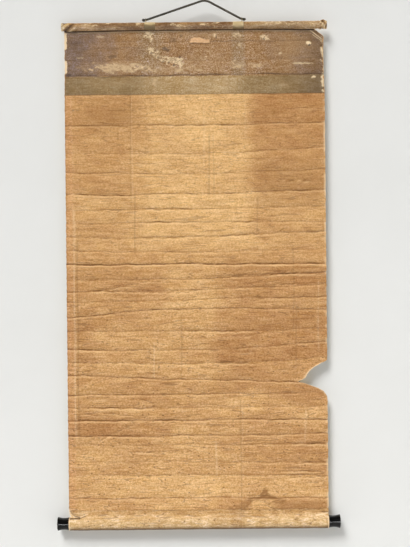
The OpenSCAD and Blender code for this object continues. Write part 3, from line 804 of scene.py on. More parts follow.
def silk_marks(x, d):
    """Named values on the silk: scuff (soft rubbing), worn (pale crumbs), bare (paper shows),
    peeled, dark, mauve, green, olive, and the shade and pale edge just under the stave."""
    chips = patches(x, d, CHIPS, 0.3)
    top_edge = 36 - 2.2 * np.sin((x + 14) / 9) + 0.1 * np.abs(x - 12)
    left_tip, right_tip = smooth(-15, -4, x), 1 - smooth(33, 40, x)
    tips = left_tip * right_tip
    peeled = smooth(-0.8, 0.8, (d - top_edge) * tips + 0.6 * grime(x, d) - 6 * (1 - tips))
    peeled *= 1 - smooth(46.2, 47.4, d - 0.03 * x)
    curl = line_sum(x, d, CURLED)
    # dark also holds a painted shadow in the gap under the curled corner
    dark = patches(x, d, BLOTS, 0.22) + line_sum(x, d, CURL_GAP_SHADOW) + tide_sum(x, d, CRACKS)
    mauve = 0.8 * (1 - smooth(-275, -150, x)) + 0.18 * (1 - smooth(-150, -70, x)) + 0.3 * smooth(150, 260, x)
    mauve = mauve + 0.45 * soft_box(x, d, -289, -264, 36, 52, 3)
    mauve = np.clip(mauve * (1 - smooth(118, 124, d)) + 0.5 * soft_box(x, d, -297, -225, 118, 126, 2), 0, 1.2)
    green = 0.7 * soft_box(x, d, -128, -72, 10, 116, 14) + 0.8 * soft_box(x, d, 87, 116, 10, 170, 5)
    patchy = 0.5 + 0.5 * np.clip(blotch(0.4 * x, 0 * d), -1, 1)
    below = STAVE_BOTTOM + stave_sag(x)
    # painted shadow just under the stave
    under = (1 - smooth(below + 0.8, below + 2.8, d)) * (0.8 + 0.2 * patchy)
    lip = np.exp(-(((d - below - 3.9) / 1.0) ** 2)) * (0.3 + 0.7 * patchy) * 0.7
    return {
        "scuff": np.clip(patches(x, d, SCUFFS, 0.3, 0.6), 0, 1),
        "worn": np.clip(patches(x, d, CRUMBS, 0.35), 0, 1),
        "bare": np.clip(chips + curl + lip, 0, 1), "peeled": np.clip(peeled, 0, 1),
        "dark": np.clip(dark, 0, 1), "mauve": mauve, "green": green,
        "olive": smooth(122.5, 125.5, d + 0.6 * blotch(x, 0 * d)), "under": under,
    }


print(len(SCUFFS), "scuffs,", len(CRUMBS), "crumbs,", len(CHIPS), "chips and", len(BLOTS), "blots")

# %% Build the cover silk
silk_u = np.linspace(0, 1, 261)
sx, sy, sd, silk_dirt_and_shade, _ = back_surface(silk_u, 0, COVER_LINE, 28)
folded_back = span(sd, 22, 61, 2) + span(sd, 86, 116, 2)
left_gap = 0.9 + 0.8 * smooth(-0.6, 0.8, fray(0, sd)) + 4.4 * folded_back
right_gap = 0.9 + 1.8 * smooth(-0.3, 0.9, fray(0, sd + 77))
shrink = (sx - sx[:, :1]) / (sx[:, -1:] - sx[:, :1])
sx = sx + left_gap * (1 - smooth(0, 0.03, shrink)) - right_gap * smooth(0.97, 1, shrink)
silk_field = silk_marks(sx, sd)
raised = 0.12 * blotch(sx, sd) * silk_field["worn"] - 0.3 * silk_field["bare"]
nap = np.clip(raised, -0.3, 0.3)
silk_near = hang(sx, sy - COVER_T - 0.06 - 0.4 * nap, sd)
silk_far = hang(sx, sy - 0.03, sd)[::2, ::2]
silk_field["dirt_and_painted_light"] = np.clip(silk_dirt_and_shade, 0, 3)
cover = two_sided("cover_silk_patch", silk_near, silk_far, silk_field)
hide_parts("cover_silk")

# %% [markdown]
# ## The stave's sleeve
# The top stave is a half-round rod in a sleeve of silk, with its flat face against the sheet. Its
# outline is a circle cut by that face, carried along the stave. At the ends the silk is turned in
# and pasted down in slanting gathers, so the outline shrinks there and the surface ripples.

# %% Outline of the stave
STAVE_R, SLEEVE_T, STAVE_Y, STAVE_Z = 7.46, 0.9, -2.44, 8.36


def stave_outline(grow, count):
    """Points (y, depth) round the half-round section: an arc of the circle, then the chord of
    the flat face, evenly spaced along the way round."""
    r = STAVE_R + grow
    face = -SLEEVE_T + grow - STAVE_Y
    open_angle = math.acos(np.clip(face / r, -1, 1))
    a = np.linspace(open_angle, 2 * np.pi - open_angle, 400)
    arc = np.stack([STAVE_Y + r * np.cos(a), STAVE_Z - r * np.sin(a)], -1)
    chord = np.linspace(arc[-1], arc[0], 80)[1:-1]
    loop = np.concatenate([arc, chord, arc[:1]])
    way = along_path(loop)
    spots = np.linspace(0, way[-1], count, endpoint=False)
    return np.stack([np.interp(spots, way, loop[:, k]) for k in (0, 1)], -1)


print(f"sleeve {2 * (STAVE_R + SLEEVE_T):.1f} mm across its round back")

# %% Build the sleeve
AROUND, EVEN_TO, SLEEVE_END = 56, 303.4, 306.0
TURNED_X = np.array([SLEEVE_END, SLEEVE_END, SLEEVE_END, 305.6, 304.8])  # rings of a turned-in end
TURNED_SIZE = np.array([0.05, 0.4, 0.75, 0.93, 0.985])  # share of the full outline at each ring
FINE_FROM = 0.82
inner_x = np.concatenate([
    np.linspace(-1, -FINE_FROM, 60), np.linspace(-FINE_FROM, FINE_FROM, 161)[1:-1],
    np.linspace(FINE_FROM, 1, 60),
])
sleeve_x = np.concatenate([-TURNED_X, inner_x * EVEN_TO, TURNED_X[::-1]])
shrink_end = np.concatenate([TURNED_SIZE, np.ones(len(inner_x)), TURNED_SIZE[::-1]])
outline = stave_outline(SLEEVE_T, AROUND)
middle = np.array([STAVE_Y - 1.6, STAVE_Z])
section = middle + (outline - middle)[None] * shrink_end[:, None, None]
spin = turns(AROUND)[None, :]
sleeve_wave = waves(71, 9, (24, 90), (5, 14))
gx = sleeve_x[:, None] + 0 * spin
left_end, right_end = smooth(-252, -292, gx), smooth(272, 300, gx)
lumps = waves(72, 14, (6, 30), (6, 34))
gather = left_end * np.sin((gx + SLEEVE_END) / 3.4 + 2.2 * spin + 0.6 * np.sin(gx / 7))
gather = gather + right_end * np.clip(1.1 * lumps(gx, spin * 8), -1, 1)
round_side = smooth(-0.6, -2.2, section[..., 0])
push = round_side * (0.16 * sleeve_wave(gx, spin * 8) + 0.42 * gather)
frayed = smooth(276, 292, gx) * (1 - smooth(303, 305.5, gx))
flap = np.clip(1 - np.abs(gx - 297) / 7, 0, 1) * np.exp(-(((section[..., 1] - 0.6) / 2.0) ** 2))
normal = unit(section - middle)
section = section + normal * (push + 3.4 * flap + 0.8 * frayed * round_side * lumps(gx, spin * 8))[..., None]
section[..., 1] += stave_sag(gx) * smooth(9, 17, section[..., 1]) * round_side
pucker = 0.5 * np.sin(9 * spin) * (1 - shrink_end[:, None]) * np.sign(gx)
RUBBED = [  # pale spots: place across, depth
    (-196, 3), (-229, 8), (-49, 6.5), (-34, 9), (53, 3), (157, 1.5), (194, 4), (231, 1.5),
    (275, 8), (-128, 4), (20, 7),
]
sleeve_flecks = sum(blob(gx, section[..., 1], fx, fd, 5, 2.4, 0.4) for fx, fd in RUBBED) * round_side
sleeve_points = hang(gx + pucker, section[..., 0], section[..., 1])
sleeve_uv = np.stack(np.broadcast_arrays(gx * MM, spin * (STAVE_R + SLEEVE_T) * MM), -1).reshape(-1, 2)
sleeve = piece(
    "stave_silk_sleeve", sleeve_points,
    [grid_faces(len(sleeve_x), AROUND, wrap_cols=True, flip=False)] + end_caps(len(sleeve_x), AROUND),
    uv=sleeve_uv,
    marks={"gather": 0.5 + 0.5 * gather, "end": np.maximum(left_end, right_end) * round_side,
           "cap": np.maximum(1 - smooth(-303, -297, gx), 0.6 * smooth(270, 290, gx)),
           "fleck": np.clip(sleeve_flecks, 0, 1), "tan": smooth(90, 150, gx)},
)
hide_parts("stave_sleeve")

# %% [markdown]
# ## The roller's wrap
# The foot of the sheet is wound round the roller and pasted. Seen from the back, a narrow tab runs
# up the sheet and rolls over onto the wood in a soft hollow. The section is a tab, a fillet and a
# ring, carried along the roller. Both ends of the tab have come loose and lift, the left one more.

# %% Outline of the wrap
ROLLER_Y, ROLLER_Z, WRAP_R, WRAP_IN, WRAP_HALF, TAB_T = 0.4, 1155.5, 15.4, 14.1, 299.5, 0.6
TAB_ROWS, HOLLOW_ROWS = 11, 5
RING_START = TAB_ROWS + HOLLOW_ROWS
FLAT_FROM, FLAT_TO = -252.0, 268.0  # the tab lies flat between these places across


def wrap_section():
    """Outer line (y, depth) from the tab's feathered top down the back, over a hollow and round
    the ring, up to the sheet's front."""
    hollow = np.radians(27)
    tab_d = np.linspace(TAB_TOP, 1136.2, TAB_ROWS)
    tab = np.stack([-0.12 - (TAB_T - 0.12) * smooth(TAB_TOP, TAB_TOP + 5, tab_d), tab_d], -1)
    a = np.linspace(np.pi / 2 + hollow, 2 * np.pi + np.pi / 2 - 0.04, 66)
    ring = np.stack([ROLLER_Y + WRAP_R * np.cos(a), ROLLER_Z - WRAP_R * np.sin(a)], -1)
    t = np.linspace(0, 1, HOLLOW_ROWS + 2)[1:-1, None]
    bend = np.array([-TAB_T, 1139.6])
    blend_line = (1 - t) ** 2 * tab[-1] + 2 * t * (1 - t) * bend + t ** 2 * ring[0]
    return np.concatenate([tab, blend_line, ring])


line = wrap_section()
print("wrap outline of", len(line), "points")

# %% Shape of the wrap
wrap_x = np.concatenate([
    np.linspace(-WRAP_HALF, FLAT_FROM, 44)[:-1], np.linspace(FLAT_FROM, FLAT_TO, 190)[:-1],
    np.linspace(FLAT_TO, WRAP_HALF, 26),
])
way_round = np.arange(len(line))[None, :]
wx = wrap_x[:, None] + 0 * way_round
wy, wd = line[None, :, 0] + 0 * wx, line[None, :, 1] + 0 * wx
on_ring = smooth(RING_START - 4, RING_START + 2, way_round)
on_ring = on_ring * (1 - smooth(len(line) - 8, len(line) - 1, way_round))
dents = waves(81, 10, (30, 140), (6, 20))
crumple = waves(82, 8, (9, 26), (7, 18))
ripples = waves(84, 12, (10, 46), (3, 9))
puff = on_ring * (0.2 * dents(wx, way_round * 1.4) + 0.16 * ripples(wx, way_round * 1.4))
loose_left = (1 - smooth(-296, -258, wx)) * (1 - on_ring) * smooth(TAB_TOP, TAB_TOP + 3, wd)
loose_right = smooth(272, 296, wx) * (1 - on_ring) * smooth(TAB_TOP, TAB_TOP + 3, wd)
out_y, out_d = (wy - ROLLER_Y) / WRAP_R, (wd - ROLLER_Z) / WRAP_R
lift = loose_left * (1.5 + 0.6 * crumple(wx, wd)) + loose_right * (0.7 + 0.5 * crumple(wx, wd))
wy = wy + puff * out_y - lift
wd = wd + puff * out_d
tab_edge = 0.9 * waves(83, 7, (14, 90), (900, 1000))(wx, 0) * (1 - smooth(TAB_TOP, TAB_TOP + 5, wd))
wd = wd + tab_edge
# the tab's left end follows the rounded corner of the sheet
drawn = edge_left(np.minimum(wd, SHEET_DROP)) + 0.3
share = np.clip((FLAT_FROM - wx) / (WRAP_HALF + FLAT_FROM), 0, 1)
on_tab = (way_round < RING_START - 1) & (wx < FLAT_FROM)
wx = np.where(on_tab, FLAT_FROM + (drawn - FLAT_FROM) * share, wx)
scale_in = WRAP_IN / WRAP_R
tab_inside = wy + np.minimum(TAB_T, -line[None, :, 0]) * 0.85
inside_y = np.where(way_round >= RING_START, ROLLER_Y + (wy - ROLLER_Y) * scale_in, tab_inside)
inside_d = np.where(way_round >= RING_START, ROLLER_Z + (wd - ROLLER_Z) * scale_in, wd)
loop_y = np.concatenate([wy, inside_y[:, ::-1]], 1)
loop_d = np.concatenate([wd, inside_d[:, ::-1]], 1)
loop_x = np.concatenate([wx, wx[:, ::-1]], 1)
n_loop = loop_y.shape[1]
wrap_points = hang(loop_x, loop_y, loop_d)
print("wrap grid of", len(wrap_x), "by", n_loop, "points")

# %% Marks of the wrap
CURLS = [  # pale edges of the loose corners: from place and depth, to place and depth, width, weight
    (-289, 1138.8, -273, 1140.0, 1.1, 1.0), (-274, 1140, -257, 1133.5, 1.2, 0.9),
    # the last row, on the right, is a painted highlight where the lifted tab edge meets the light
    (-288, 1131.0, -264, 1133.0, 1.1, 0.7), (270, 1141, 299, 1135.5, 1.6, 1.0),
]
GAP_SHADOWS = [  # painted shadow in the gaps under them
    (-298, 1142.4, -275, 1142.2, 1.3, 0.9), (-275, 1142.2, -262, 1138.5, 1.0, 0.5),
    (284, 1132.5, 299, 1133, 1.0, 0.7), (-297, 1127.0, -287, 1137.5, 0.8, 0.6),
    (-287, 1137.5, -274, 1140.5, 1.1, 0.8),
]
back_part = np.concatenate([np.ones(len(line)), np.zeros(len(line))])[None, :]
from_edge = loop_x - edge_left(np.minimum(loop_d, SHEET_DROP))
curls = 1.5 * np.exp(-(from_edge / 2.8)) * (loop_d < 1140.8) * (loop_d > 1126.5)
curls = curls + line_sum(loop_x, loop_d, CURLS)
uneven = 0.5 + 0.4 * np.clip(dents(loop_x, 40 + 0 * loop_x), -1, 1)
seam_line = np.exp(-np.abs(loop_d - TAB_TOP - 0.6) / 1.1) * uneven
# painted shadow in the gaps, and a darker line along the tab's top edge
gap_shadow_line = line_sum(loop_x, loop_d, GAP_SHADOWS) + 0.6 * seam_line
# paler at both ends of the ring
pale_ring_ends = smooth(296.4, 298.6, np.abs(loop_x)) * (loop_d > 1142)
wrap_marks = {
    "stain": stain_map(loop_x, np.minimum(loop_d, 1141)),
    "seam": seam_marks(loop_x, np.minimum(loop_d, 1138)),
    # painted shade on the underside of the roller
    "low": smooth(1160, 1170, loop_d),
    "tab": 1 - smooth(1131, 1143, loop_d + 1.5 * dents(loop_x, 7 + 0 * loop_x)),
    "pale": np.clip(curls, 0, 1) * back_part + pale_ring_ends,
    "gap_shadow_and_seam": np.clip(gap_shadow_line, 0, 1) * back_part,
}

# %% Build the wrap
cap_cols = np.arange(len(line) - 1)
cap = np.stack([cap_cols, cap_cols + 1, n_loop - 2 - cap_cols, n_loop - 1 - cap_cols], -1)
last = (len(wrap_x) - 1) * n_loop
wrap = piece(
    "roller_wrap_paper", wrap_points,
    [grid_faces(len(wrap_x), n_loop, wrap_cols=True, flip=True), cap[:, ::-1], cap + last],
    marks=wrap_marks,
)
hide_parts("roller_wrap")

# %% [markdown]
# ## The roller's knobs
# A turned and lacquered knob sits on each end of the roller: waisted near the paper and flared at
# its end, which is slightly domed. It is a lathe shape, a radius for each place along the axis,
# with small rounded edges that catch the light.

# %% Build the knobs
KNOB_FACE, KNOB_L, KNOB_WAIST, KNOB_END, WAIST_AT, KNOB_DOME = 300.1, 28.0, 13.3, 16.0, 11.0, 2.0
KNOB_SIDES, EDGE_R = 72, 0.9


def knob(name, node_name, way):
    """Turned outline: waist + flare * ((s - waist place) / run)^2 along the side, rounded
    edges, and a dome s = end - dome * (r / R)^2."""
    run = KNOB_L - KNOB_DOME - WAIST_AT
    s = np.linspace(0, KNOB_L - KNOB_DOME - EDGE_R, 40)
    r = KNOB_WAIST + (KNOB_END - KNOB_WAIST) * ((s - WAIST_AT) / run) ** 2
    r[:3] -= np.array([0.7, 0.22, 0.04])
    turn_in = np.linspace(0, np.pi / 2, 8)[1:]
    edge_s = s[-1] + EDGE_R * np.sin(turn_in)
    edge_r = r[-1] - EDGE_R * (1 - np.cos(turn_in)) + 0.1
    dome_r = np.linspace(edge_r[-1] - 0.5, 0.3, 14)
    dome_s = KNOB_L - KNOB_DOME * (dome_r / edge_r[-1]) ** 2
    inner_r = np.array([8.1, 11.0])
    inner_s = np.array([0.0, 0.0])
    s = np.concatenate([inner_s, s, edge_s, dome_s])[:, None]
    r = np.concatenate([inner_r, r, edge_r, dome_r])[:, None]
    a = turns(KNOB_SIDES)[None, :]
    points = hang(way * (KNOB_FACE + s) + 0 * a, ROLLER_Y + r * np.cos(a), ROLLER_Z - r * np.sin(a))
    faces = [grid_faces(len(s), KNOB_SIDES, wrap_cols=True, flip=way < 0)]
    caps = end_caps(len(s), KNOB_SIDES)
    faces += [c[:, ::-1] for c in caps] if way < 0 else caps
    obj = piece(name, points, faces, sharp=50)
    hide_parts(node_name)
    return obj


knob_left = knob("lacquer_knob_left", "knob_left", -1)
knob_right = knob("lacquer_knob_right", "knob_right", 1)

# %% [markdown]
# ## The wind bands
# Two narrow silk bands hang down the painted front from the top of the stave. Their ends pass over
# the stave and are pasted on its back, where they show as pale patches. A band is a ribbon along a
# bent path: up the stave's round back, over the top, and down the front, where it follows the
# sheet's folds at a small distance.

# %% Build the wind bands
BAND_W, BAND_L, BAND_T, BAND_OUT = 25.0, 375.0, 0.5, 4.0
band_middle = EYE_SPAN / 2 + BAND_OUT - BAND_W / 2
front_wave = waves(91, 5, (200, 400), (70, 190))


def wind_band(name, node_name, way):
    """Ribbon of 9 columns along a path in the (y, depth) plane, thickened along the path's
    own normal: centre +- half the thickness."""
    r = STAVE_R + SLEEVE_T + 0.1 + BAND_T / 2
    a = np.linspace(np.radians(262), np.radians(76), 40)
    arc = np.stack([STAVE_Y + r * np.cos(a), STAVE_Z - r * np.sin(a)], -1)
    down = np.concatenate([np.linspace(1.5, 40, 14), np.linspace(44, BAND_L, 84)])
    cols = np.concatenate([[-1], np.linspace(-0.9, 0.9, 7), [1]]) * BAND_W / 2
    centre = way * band_middle
    ys = []
    for c in cols:
        share = np.array([(centre + c) / SHEET_W + 0.5])
        _, fy, fd, _, _ = back_surface(share, 0, 14, 10)
        ys.append(np.interp(down, fd[:, 0], fy[:, 0], left=0.0))
    front_y = np.stack(ys, -1)
    around = np.roll(front_y, 3, 0) + np.roll(front_y, -3, 0)
    front_y = np.maximum(front_y, np.roll(front_y, 1, 0)) * 0.5 + 0.25 * around
    loose = np.abs(front_wave(centre + cols[None, :], down[:, None]))
    front_y = front_y + SHEET_T + 0.75 + 0.45 * loose * smooth(30, 90, down)[:, None]
    front_y[:2] = SHEET_T + 0.4
    path_y = np.concatenate([arc[:, :1] + 0 * cols, front_y])
    path_d = np.concatenate([arc[:, 1:] + 0 * cols, down[:, None] + 0 * cols])
    edge = 0.25 * front_wave(900 * way, path_d * 3)
    px = centre + cols[None, :] + edge * np.sign(cols)[None, :]
    ty, td = np.gradient(path_y, axis=0), np.gradient(path_d, axis=0)
    size = np.hypot(ty, td)
    ny, nd = -td / size, ty / size
    outer = hang(px, path_y - ny * BAND_T / 2, path_d - nd * BAND_T / 2)
    inner = hang(px, path_y + ny * BAND_T / 2, path_d + nd * BAND_T / 2)
    rows, n = path_y.shape
    total = rows * n
    b, f = np.arange(total).reshape(rows, n), np.arange(total).reshape(rows, n) + total

    def strip_faces(p, q, flip):
        """Four-cornered faces between an edge of the outer grid and the same edge of the inner."""
        quads = np.stack([p[:-1], p[1:], q[1:], q[:-1]], -1)
        return quads[:, ::-1] if flip else quads

    faces = [
        grid_faces(rows, n), grid_faces(rows, n, start=total, flip=True),
        strip_faces(b[:, 0], f[:, 0], False), strip_faces(b[:, -1], f[:, -1], True),
        strip_faces(b[0], f[0], True), strip_faces(b[-1], f[-1], False),
    ]
    way_along = along_path(np.stack([path_y[:, n // 2], path_d[:, n // 2]], -1))
    uv = np.stack(np.broadcast_arrays(cols[None, :] * MM, way_along[:, None] * MM), -1).reshape(-1, 2)
    behind = (path_y < -0.5) & (path_d < 18)
    rub_from, rub_to = (4.6, 9.0) if way < 0 else (8.5, 17.0)
    olive_low = smooth(rub_from, rub_to, path_d + 1.2 * front_wave(px * 12, path_d * 9)) * behind
    # painted shadow along the band's outer edge on the stave
    edge_shadow = (np.arange(n) == (0 if way < 0 else n - 1))[None, :] * behind * 1.0
    band_marks = {"olive_low": olive_low, "edge_shadow": edge_shadow, "faded": behind * (0.15 if way < 0 else 0.3)}
    both = {k: np.concatenate([v.ravel(), v.ravel()]) for k, v in band_marks.items()}
    points = np.concatenate([outer.reshape(-1, 3), inner.reshape(-1, 3)])
    obj = piece(name, points, faces, uv=np.concatenate([uv, uv]), marks=both)
    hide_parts(node_name)
    print(f"{name}: ribbon {way_along[-1]:.0f} mm long")
    return obj


band_left = wind_band("wind_band_ribbon_left", "wind_band_left", -1)
band_right = wind_band("wind_band_ribbon_right", "wind_band_right", 1)

# %% [markdown]
# ## Shared finishes as node groups
# Paper and silk share a few effects: fibres that lie level, a woven thread, small specks, and
# flecks that come through where the cloth is worn. Each is built once as a node group with named
# inputs and outputs, and every material places it with its own values.

# %% Node helpers


def srgb(r, g, b):
    """Linear colour, with alpha, of an 8-bit screen colour: c/12.92 when dark, else
    ((c + 0.055) / 1.055)^2.4."""
    c = np.array([r, g, b]) / 255
    lin = np.where(c <= 0.04045, c / 12.92, ((c + 0.055) / 1.055) ** 2.4)
    return tuple(float(v) for v in lin) + (1.0,)


def add(tree, kind, links=None, **settings):
    """A node with its settings, and its inputs set to values or linked to sockets."""
    node = tree.nodes.new(kind)
    for key, value in settings.items():
        setattr(node, key, value)
    for key, value in (links or {}).items():
        if isinstance(value, bpy.types.NodeSocket):
            tree.links.new(value, node.inputs[key])
        else:
            node.inputs[key].default_value = value
    return node


def calc(tree, operation, a, b=0.0, clamp=False):
    """Result of a Math node."""
    node = add(tree, "ShaderNodeMath", {0: a, 1: b}, operation=operation, use_clamp=clamp)
    return node.outputs[0]


def plus(tree, a, b, clamp=False):
    """Sum of two values or sockets."""
    return calc(tree, "ADD", a, b, clamp)


def times(tree, a, b, clamp=False):
    """Product of two values or sockets."""
    return calc(tree, "MULTIPLY", a, b, clamp)


def ramp(tree, value, low, high, to_low=0.0, to_high=1.0):
    """Smooth step of a value from one range to another."""
    links = {"Value": value, "From Min": low, "From Max": high, "To Min": to_low, "To Max": to_high}
    return add(tree, "ShaderNodeMapRange", links, interpolation_type="SMOOTHSTEP").outputs[0]


def blend(tree, share, a, b, how="MIX"):
    """Colour a with a share of colour b."""
    node = add(tree, "ShaderNodeMix", {0: share, 6: a, 7: b}, data_type="RGBA", blend_type=how)
    return node.outputs[2]


def noise(tree, vector, scale, detail=4.0, rough=0.55, lean=0.0):
    """Cloudy noise between 0 and 1."""
    links = {"Vector": vector, "Scale": scale, "Detail": detail, "Roughness": rough, "Distortion": lean}
    return add(tree, "ShaderNodeTexNoise", links).outputs["Fac"]


def stretch(tree, vector, scale, shift=(0.0, 0.0, 0.0)):
    """Coordinates scaled and shifted."""
    return add(tree, "ShaderNodeMapping", {"Vector": vector, "Scale": scale, "Location": shift}).outputs[0]


def mark(tree, name):
    """A value that is stored at the points of the mesh."""
    return add(tree, "ShaderNodeAttribute", attribute_name=name).outputs["Fac"]


def group(name, inputs, outputs):
    """An empty node group with its sockets, and its input and output nodes."""
    tree = bpy.data.node_groups.new(name, "ShaderNodeTree")
    for socket, kind, value in inputs:
        made = tree.interface.new_socket(socket, in_out="INPUT", socket_type=kind)
        if value is not None:
            made.default_value = value
    for socket, kind in outputs:
        tree.interface.new_socket(socket, in_out="OUTPUT", socket_type=kind)
    return tree, tree.nodes.new("NodeGroupInput"), tree.nodes.new("NodeGroupOutput")


def place(tree, group_tree, links):
    """The outputs of a node group, with its inputs set to values or linked to sockets."""
    return add(tree, "ShaderNodeGroup", links, node_tree=group_tree).outputs


F, V = "NodeSocketFloat", "NodeSocketVector"

# %% Paper fibre group
FIBRE_OUT = ("Streak", "Mottle", "Grain", "Hair", "Speck", "Height")
paper_fibre, gin, gout = group("paper_fibre", [("Vector", V, None)], [(name, F) for name in FIBRE_OUT])
t = paper_fibre
vec = gin.outputs["Vector"]
long_streak = noise(t, stretch(t, vec, (22.0, 22.0, 170.0)), 1.0, 3.0, 0.62, 0.5)
short_streak = noise(t, stretch(t, vec, (170.0, 170.0, 260.0), (3.1, 0.0, 1.7)), 1.0, 3.0, 0.65, 0.3)
streak = plus(t, times(t, long_streak, 0.55), times(t, short_streak, 0.45))
mottle = noise(t, vec, 38.0, 6.0, 0.62)
grain = noise(t, stretch(t, vec, (0.95, 0.95, 1.2)), 250.0, 3.0, 0.75)
# hair creases: thin contour lines of a noise that is drawn out level, kept only in patches
drift = noise(t, stretch(t, vec, (4.5, 4.5, 52.0), (0.0, 0.0, 9.0)), 1.0, 2.0, 0.5, 0.5)
contour = ramp(t, calc(t, "SINE", times(t, drift, 74.0)), 0.78, 1.0)
kept = ramp(t, noise(t, stretch(t, vec, (11.0, 11.0, 42.0), (5.0, 0.0, 2.0)), 1.0, 3.0, 0.6), 0.33, 0.5)
hair = times(t, contour, kept)
dot_place = stretch(t, vec, (0.75, 0.75, 1.25))
cells = add(t, "ShaderNodeTexVoronoi", {"Vector": dot_place, "Scale": 115.0, "Randomness": 1.0})
chosen = ramp(t, add(t, "ShaderNodeSeparateColor", {0: cells.outputs["Color"]}).outputs[0], 0.72, 0.76)
dots = times(t, ramp(t, cells.outputs["Distance"], 0.12, 0.24, 1.0, 0.0), chosen)
large = ramp(t, noise(t, stretch(t, vec, (1.0, 1.0, 1.0), (7.0, 2.0, 4.0)), 170.0, 2.0, 0.5), 0.7, 0.75)
speck = calc(t, "MAXIMUM", dots, large)
height = plus(t, times(t, streak, 0.9), times(t, grain, 0.35))
height = calc(t, "SUBTRACT", height, times(t, hair, 0.3))
for name, value in zip(FIBRE_OUT, (streak, mottle, grain, hair, speck, height)):
    t.links.new(value, gout.inputs[name])
print("group", t.name, "with", len(t.nodes), "nodes")

# %% Silk weave and worn fleck groups
WEAVE_IN, WEAVE_OUT = [("Vector", V, None), ("Pitch", F, 900.0)], [("Slub", F), ("Height", F)]
silk_weave, gin, gout = group("silk_weave", WEAVE_IN, WEAVE_OUT)
t = silk_weave
vec = gin.outputs["Vector"]
axes = add(t, "ShaderNodeSeparateXYZ", {0: vec})
round_pitch = times(t, gin.outputs["Pitch"], 6.283)
weft = calc(t, "SINE", times(t, axes.outputs["Z"], round_pitch))
warp = calc(t, "SINE", times(t, axes.outputs["X"], round_pitch))
slub_weft = noise(t, stretch(t, vec, (30.0, 30.0, 520.0)), 1.0, 3.0, 0.6)
slub_warp = noise(t, stretch(t, vec, (480.0, 480.0, 26.0)), 1.0, 3.0, 0.6)
slub = plus(t, times(t, slub_weft, 0.55), times(t, slub_warp, 0.45))
woven = times(t, times(t, weft, warp), 0.25)
t.links.new(slub, gout.inputs["Slub"])
t.links.new(plus(t, woven, slub), gout.inputs["Height"])

worn_fleck, gin, gout = group("worn_fleck", [("Vector", V, None), ("Amount", F, 0.5)], [("Mask", F)])
t = worn_fleck
vec = gin.outputs["Vector"]
crumbs = noise(t, stretch(t, vec, (1.0, 1.0, 1.4)), 105.0, 6.0, 0.85)
threads = noise(t, stretch(t, vec, (160.0, 160.0, 620.0)), 1.0, 3.0, 0.6)
both = plus(t, times(t, crumbs, 0.7), times(t, threads, 0.3))
limit_range = {"Value": gin.outputs["Amount"], "To Min": 0.74, "To Max": 0.44}
limit = add(t, "ShaderNodeMapRange", limit_range).outputs[0]
t.links.new(ramp(t, calc(t, "SUBTRACT", both, limit), 0.0, 0.1), gout.inputs["Mask"])
print("groups", silk_weave.name, "and", worn_fleck.name)

# %% [markdown]
# ## Materials
# A material here is a stack: a ground colour from the stored marks, fibres or thread over it, then
# dirt, painted shade and highlight, stains and wear. Colours are written as they look on the screen
# and made linear by a helper. Each ends in one Principled shader, whose steady values are set on its own
# sockets.

# %% Material helper


def finish(name, build, **steady):
    """A material with one Principled shader; build(tree, Object coordinates) gives its base
    colour, its roughness, and the bump's height, depth in metres and strength."""
    material = bpy.data.materials.new(name)
    material.use_nodes = True
    tree = material.node_tree
    tree.nodes.clear()
    spot = add(tree, "ShaderNodeTexCoord").outputs["Object"]
    colour, rough, height, depth, strength = build(tree, spot)
    bump = add(tree, "ShaderNodeBump", {"Height": height, "Distance": depth, "Strength": strength})
    links = {"Base Color": colour, "Roughness": rough, "Normal": bump.outputs[0]}
    shader = add(tree, "ShaderNodeBsdfPrincipled", links)
    for key, value in steady.items():
        shader.inputs[key.replace("_", " ")].default_value = value
    add(tree, "ShaderNodeOutputMaterial", {"Surface": shader.outputs[0]})
    print("material", name, "with", len(tree.nodes), "nodes")
    return material


def around_one(tree, value, low, high, swing):
    """A shade: 1 - swing where a value is low, 1 + swing where it is high."""
    return plus(tree, times(tree, ramp(tree, value, low, high, -1.0, 1.0), swing), 1.0)


def shaded(tree, colour, *shades):
    """A colour times the product s of some shades, as s^0.7 in red, s^1.05 in green and s^1.9 in
    blue: old paper and silk are browner where they are dark and greyer where they are pale."""
    shade = shades[0]
    for more in shades[1:]:
        shade = times(tree, shade, more)
    channels = {k: calc(tree, "POWER", shade, power) for k, power in enumerate((0.7, 1.05, 1.9))}
    return blend(tree, 1.0, colour, add(tree, "ShaderNodeCombineColor", channels).outputs[0], "MULTIPLY")


def fibre_shades(tree, fibre, streak, grain):
    """The two shades of paper fibre, one for its streaks and one for its grain."""
    streaks = around_one(tree, fibre["Streak"], 0.34, 0.66, streak)
    return streaks, around_one(tree, fibre["Grain"], 0.32, 0.68, grain)


def washed(tree, colour, name, tint, share=1.0):
    """A colour with a tint over it by a stored mark times a share, and none where that is below 0."""
    return blend(tree, times(tree, mark(tree, name), share, True), colour, tint)


# %% Lining paper and torn edge
BROWNED, BLEACHED = srgb(168, 113, 61), srgb(238, 193, 130)
CREASE_BROWN, FOXED, STAINED = srgb(106, 66, 24), srgb(108, 70, 26), srgb(146, 100, 50)
TORN, PAINTED_RIDGE_LIGHT = srgb(240, 212, 172), srgb(240, 200, 148)


